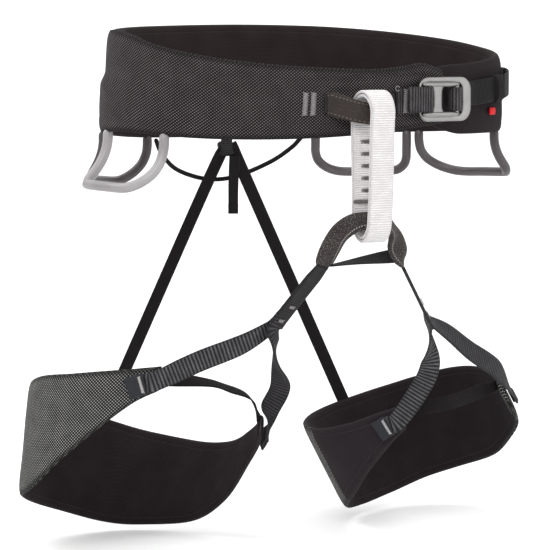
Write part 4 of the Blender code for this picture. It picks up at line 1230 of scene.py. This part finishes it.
def make_riser(side):
    top, angle = RISER_ENDS[side]
    bottom = leg_point(side, angle, -2.5, leg_edge(side, angle, 1) + 2.4)
    top = np.asarray(top)
    hang = RISER_HOOK + (-1.0 if side == "right" else 1.4, -4.2, 2.6)
    step = unit(bottom - top) * 16.0
    frames = strap_frames(((hang, (1, 0, 0)), (top + step, (1, 0, 0)),
                           (bottom - (0, 0, 6.0), (1, 0, 0))), 70)
    piece = band("riser_band_" + side, frames, 9.5, 1.6, ELASTIC)
    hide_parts("riser_" + side)
    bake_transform(piece)


def make_riser_hook():
    frames = [(RISER_HOOK + (-2.0, -4.6, z), np.array((1.0, 0, 0)), np.array((0, -1.0, 0)))
              for z in np.linspace(14.0, -4.0, 12)]
    place(band("riser_anchor_tape", frames, 9.0, 1.4, NARROW), "waist_belt", "webbing",
          "riser_anchor")
    rings, steps = [], 24
    for t in np.linspace(0, 1, 15):
        end = max((1 - abs(2 * t - 1) ** 5) ** 0.5, 0.35)
        waist = 1.0 - 0.12 * math.sin(math.pi * t) ** 4
        ring = []
        for turn in np.linspace(0, 2 * math.pi, steps, endpoint=False):
            x, y = squared(turn, 0.55)
            ring.append(RISER_HOOK + (x * 6.4 * end * waist - 0.6, y * 2.6 * end, 5.4 - 11.2 * t))
        rings.append(ring)
    body = lofted("hook", rings, [HOOK], [list(np.linspace(0, 30, steps + 1))])
    bars = [tube("bar", [RISER_HOOK + (x - 0.6, -2.7, z) for x in np.linspace(-5.0, 5.0, 8)],
                 0.7, HOOK, sides=8) for z in (2.6, -0.4, -3.4)]
    place(join("riser_hook_body", [body, *bars]), "waist_belt", "hook_plastic", "riser_hook")
    top = RISER_HOOK + (4.4, -4.6, -5.6)
    tail = ((top, (1, 0, 0)), (top + (-0.8, 0.4, -20.0), (1, 0.1, 0)),
            (top + (-1.5, -0.5, -41.0), (1, 0.2, 0)))
    frames = strap_frames(tail, 30)
    strap = band("tail", frames, 8.5, 1.4, ELASTIC)
    hem = band("hem", frames[-6:], 8.7, 2.2, ELASTIC)
    place(join("riser_tail_band", [strap, hem]), "riser_tail", "elastic", "riser_tail")


def make_legs():
    for side in ("right", "left"):
        make_swath(side)
        make_leg_webbing(side)
        for which in ("outer", "inner"):
            make_branch(side, which)
        make_thigh_elastic(side)
        make_riser(side)


# ---- floor, light and camera, in metres ------------------------------------------------------
CAMERA_AZIMUTH, CAMERA_ELEVATION = -30.0, 5.0
CAMERA_TARGET = (-0.0184, 0.0106, -0.130)
CAMERA_DISTANCE, CAMERA_LENS = 1.8, 172.0
FLOOR_BELOW = 0.004             # the floor is this far under the object


def make_stage(low):
    """A pale floor that curves up into a backdrop."""
    depth, rise, radius = 2.2, 2.4, 0.9
    profile = [(-2.6, 0.0), (depth - radius, 0.0)]
    profile += [(depth - radius + radius * math.sin(t), radius * (1 - math.cos(t)))
                for t in np.linspace(0.1, math.pi / 2, 14)]
    profile.append((depth, rise))
    spread = 3.5
    turn = math.radians(CAMERA_AZIMUTH)
    across, away = (math.cos(turn), math.sin(turn)), (-math.sin(turn), math.cos(turn))
    vertices = []
    for side in (-spread, spread):
        for d, z in profile:
            vertices.append((across[0] * side + away[0] * d, across[1] * side + away[1] * d,
                             low + z))
    n = len(profile)
    faces = [(i, i + 1, n + i + 1, n + i) for i in range(n - 1)]
    s = Shader("studio_paper", roughness=0.9, specular=0.1)
    s.colour(s.mix(s.noise(3.0, 2.0), (0.93, 0.93, 0.93), (0.95, 0.95, 0.95)))
    floor = make_object("studio_floor", np.array(vertices) / MM, faces, [s.made])


def aim(obj, place_at, target):
    obj.location = place_at
    obj.rotation_euler = (Vector(target) - Vector(place_at)).to_track_quat("-Z", "Y").to_euler()


def area_light(name, place_at, target, size, power):
    light = bpy.data.lights.new(name, "AREA")
    light.shape = "RECTANGLE"
    light.size, light.size_y = size
    light.energy = power
    aim(add_object(name, light), place_at, target)


def make_camera():
    turn, rise = math.radians(CAMERA_AZIMUTH), math.radians(CAMERA_ELEVATION)
    back = np.array((math.sin(turn) * math.cos(rise), -math.cos(turn) * math.cos(rise),
                     math.sin(rise)))
    camera = bpy.data.cameras.new("camera")
    camera.lens = CAMERA_LENS
    camera.sensor_width = 36.0
    obj = add_object("camera", camera)
    aim(obj, tuple(np.array(CAMERA_TARGET) + CAMERA_DISTANCE * back), CAMERA_TARGET)
    bpy.context.scene.camera = obj


def make_lights():
    target = (0.0, 0.0, -0.12)
    area_light("key", (-1.2, -1.6, 1.3), target, (1.2, 1.2), 26)
    area_light("fill", (1.4, -1.3, 0.4), target, (1.6, 1.6), 10)
    area_light("top", (0.1, 0.2, 1.7), target, (1.4, 1.4), 12)
    area_light("backdrop", (-0.9, 0.9, 1.2), (0.6, 1.9, 0.2), (1.2, 1.2), 22)
    world = bpy.data.worlds.new("studio")
    world.use_nodes = True
    background = world.node_tree.nodes["Background"]
    background.inputs[0].default_value = (1.0, 1.0, 1.0, 1.0)
    background.inputs[1].default_value = 0.72
    bpy.context.scene.world = world
    bpy.context.scene.view_settings.view_transform = "Standard"


def main():
    make_camera()
    make_lights()
    make_stage(CAD_BOX[0][2] - FLOOR_BELOW)
    make_haul_cord()
    make_belt()
    make_bar_tacks()
    make_tie_ins()
    make_belay_loop()
    make_buckle()
    make_waist_webbing()
    make_waist_strap()
    make_size_tag()
    make_gear_loops()
    make_legs()
    make_riser_hook()


main()
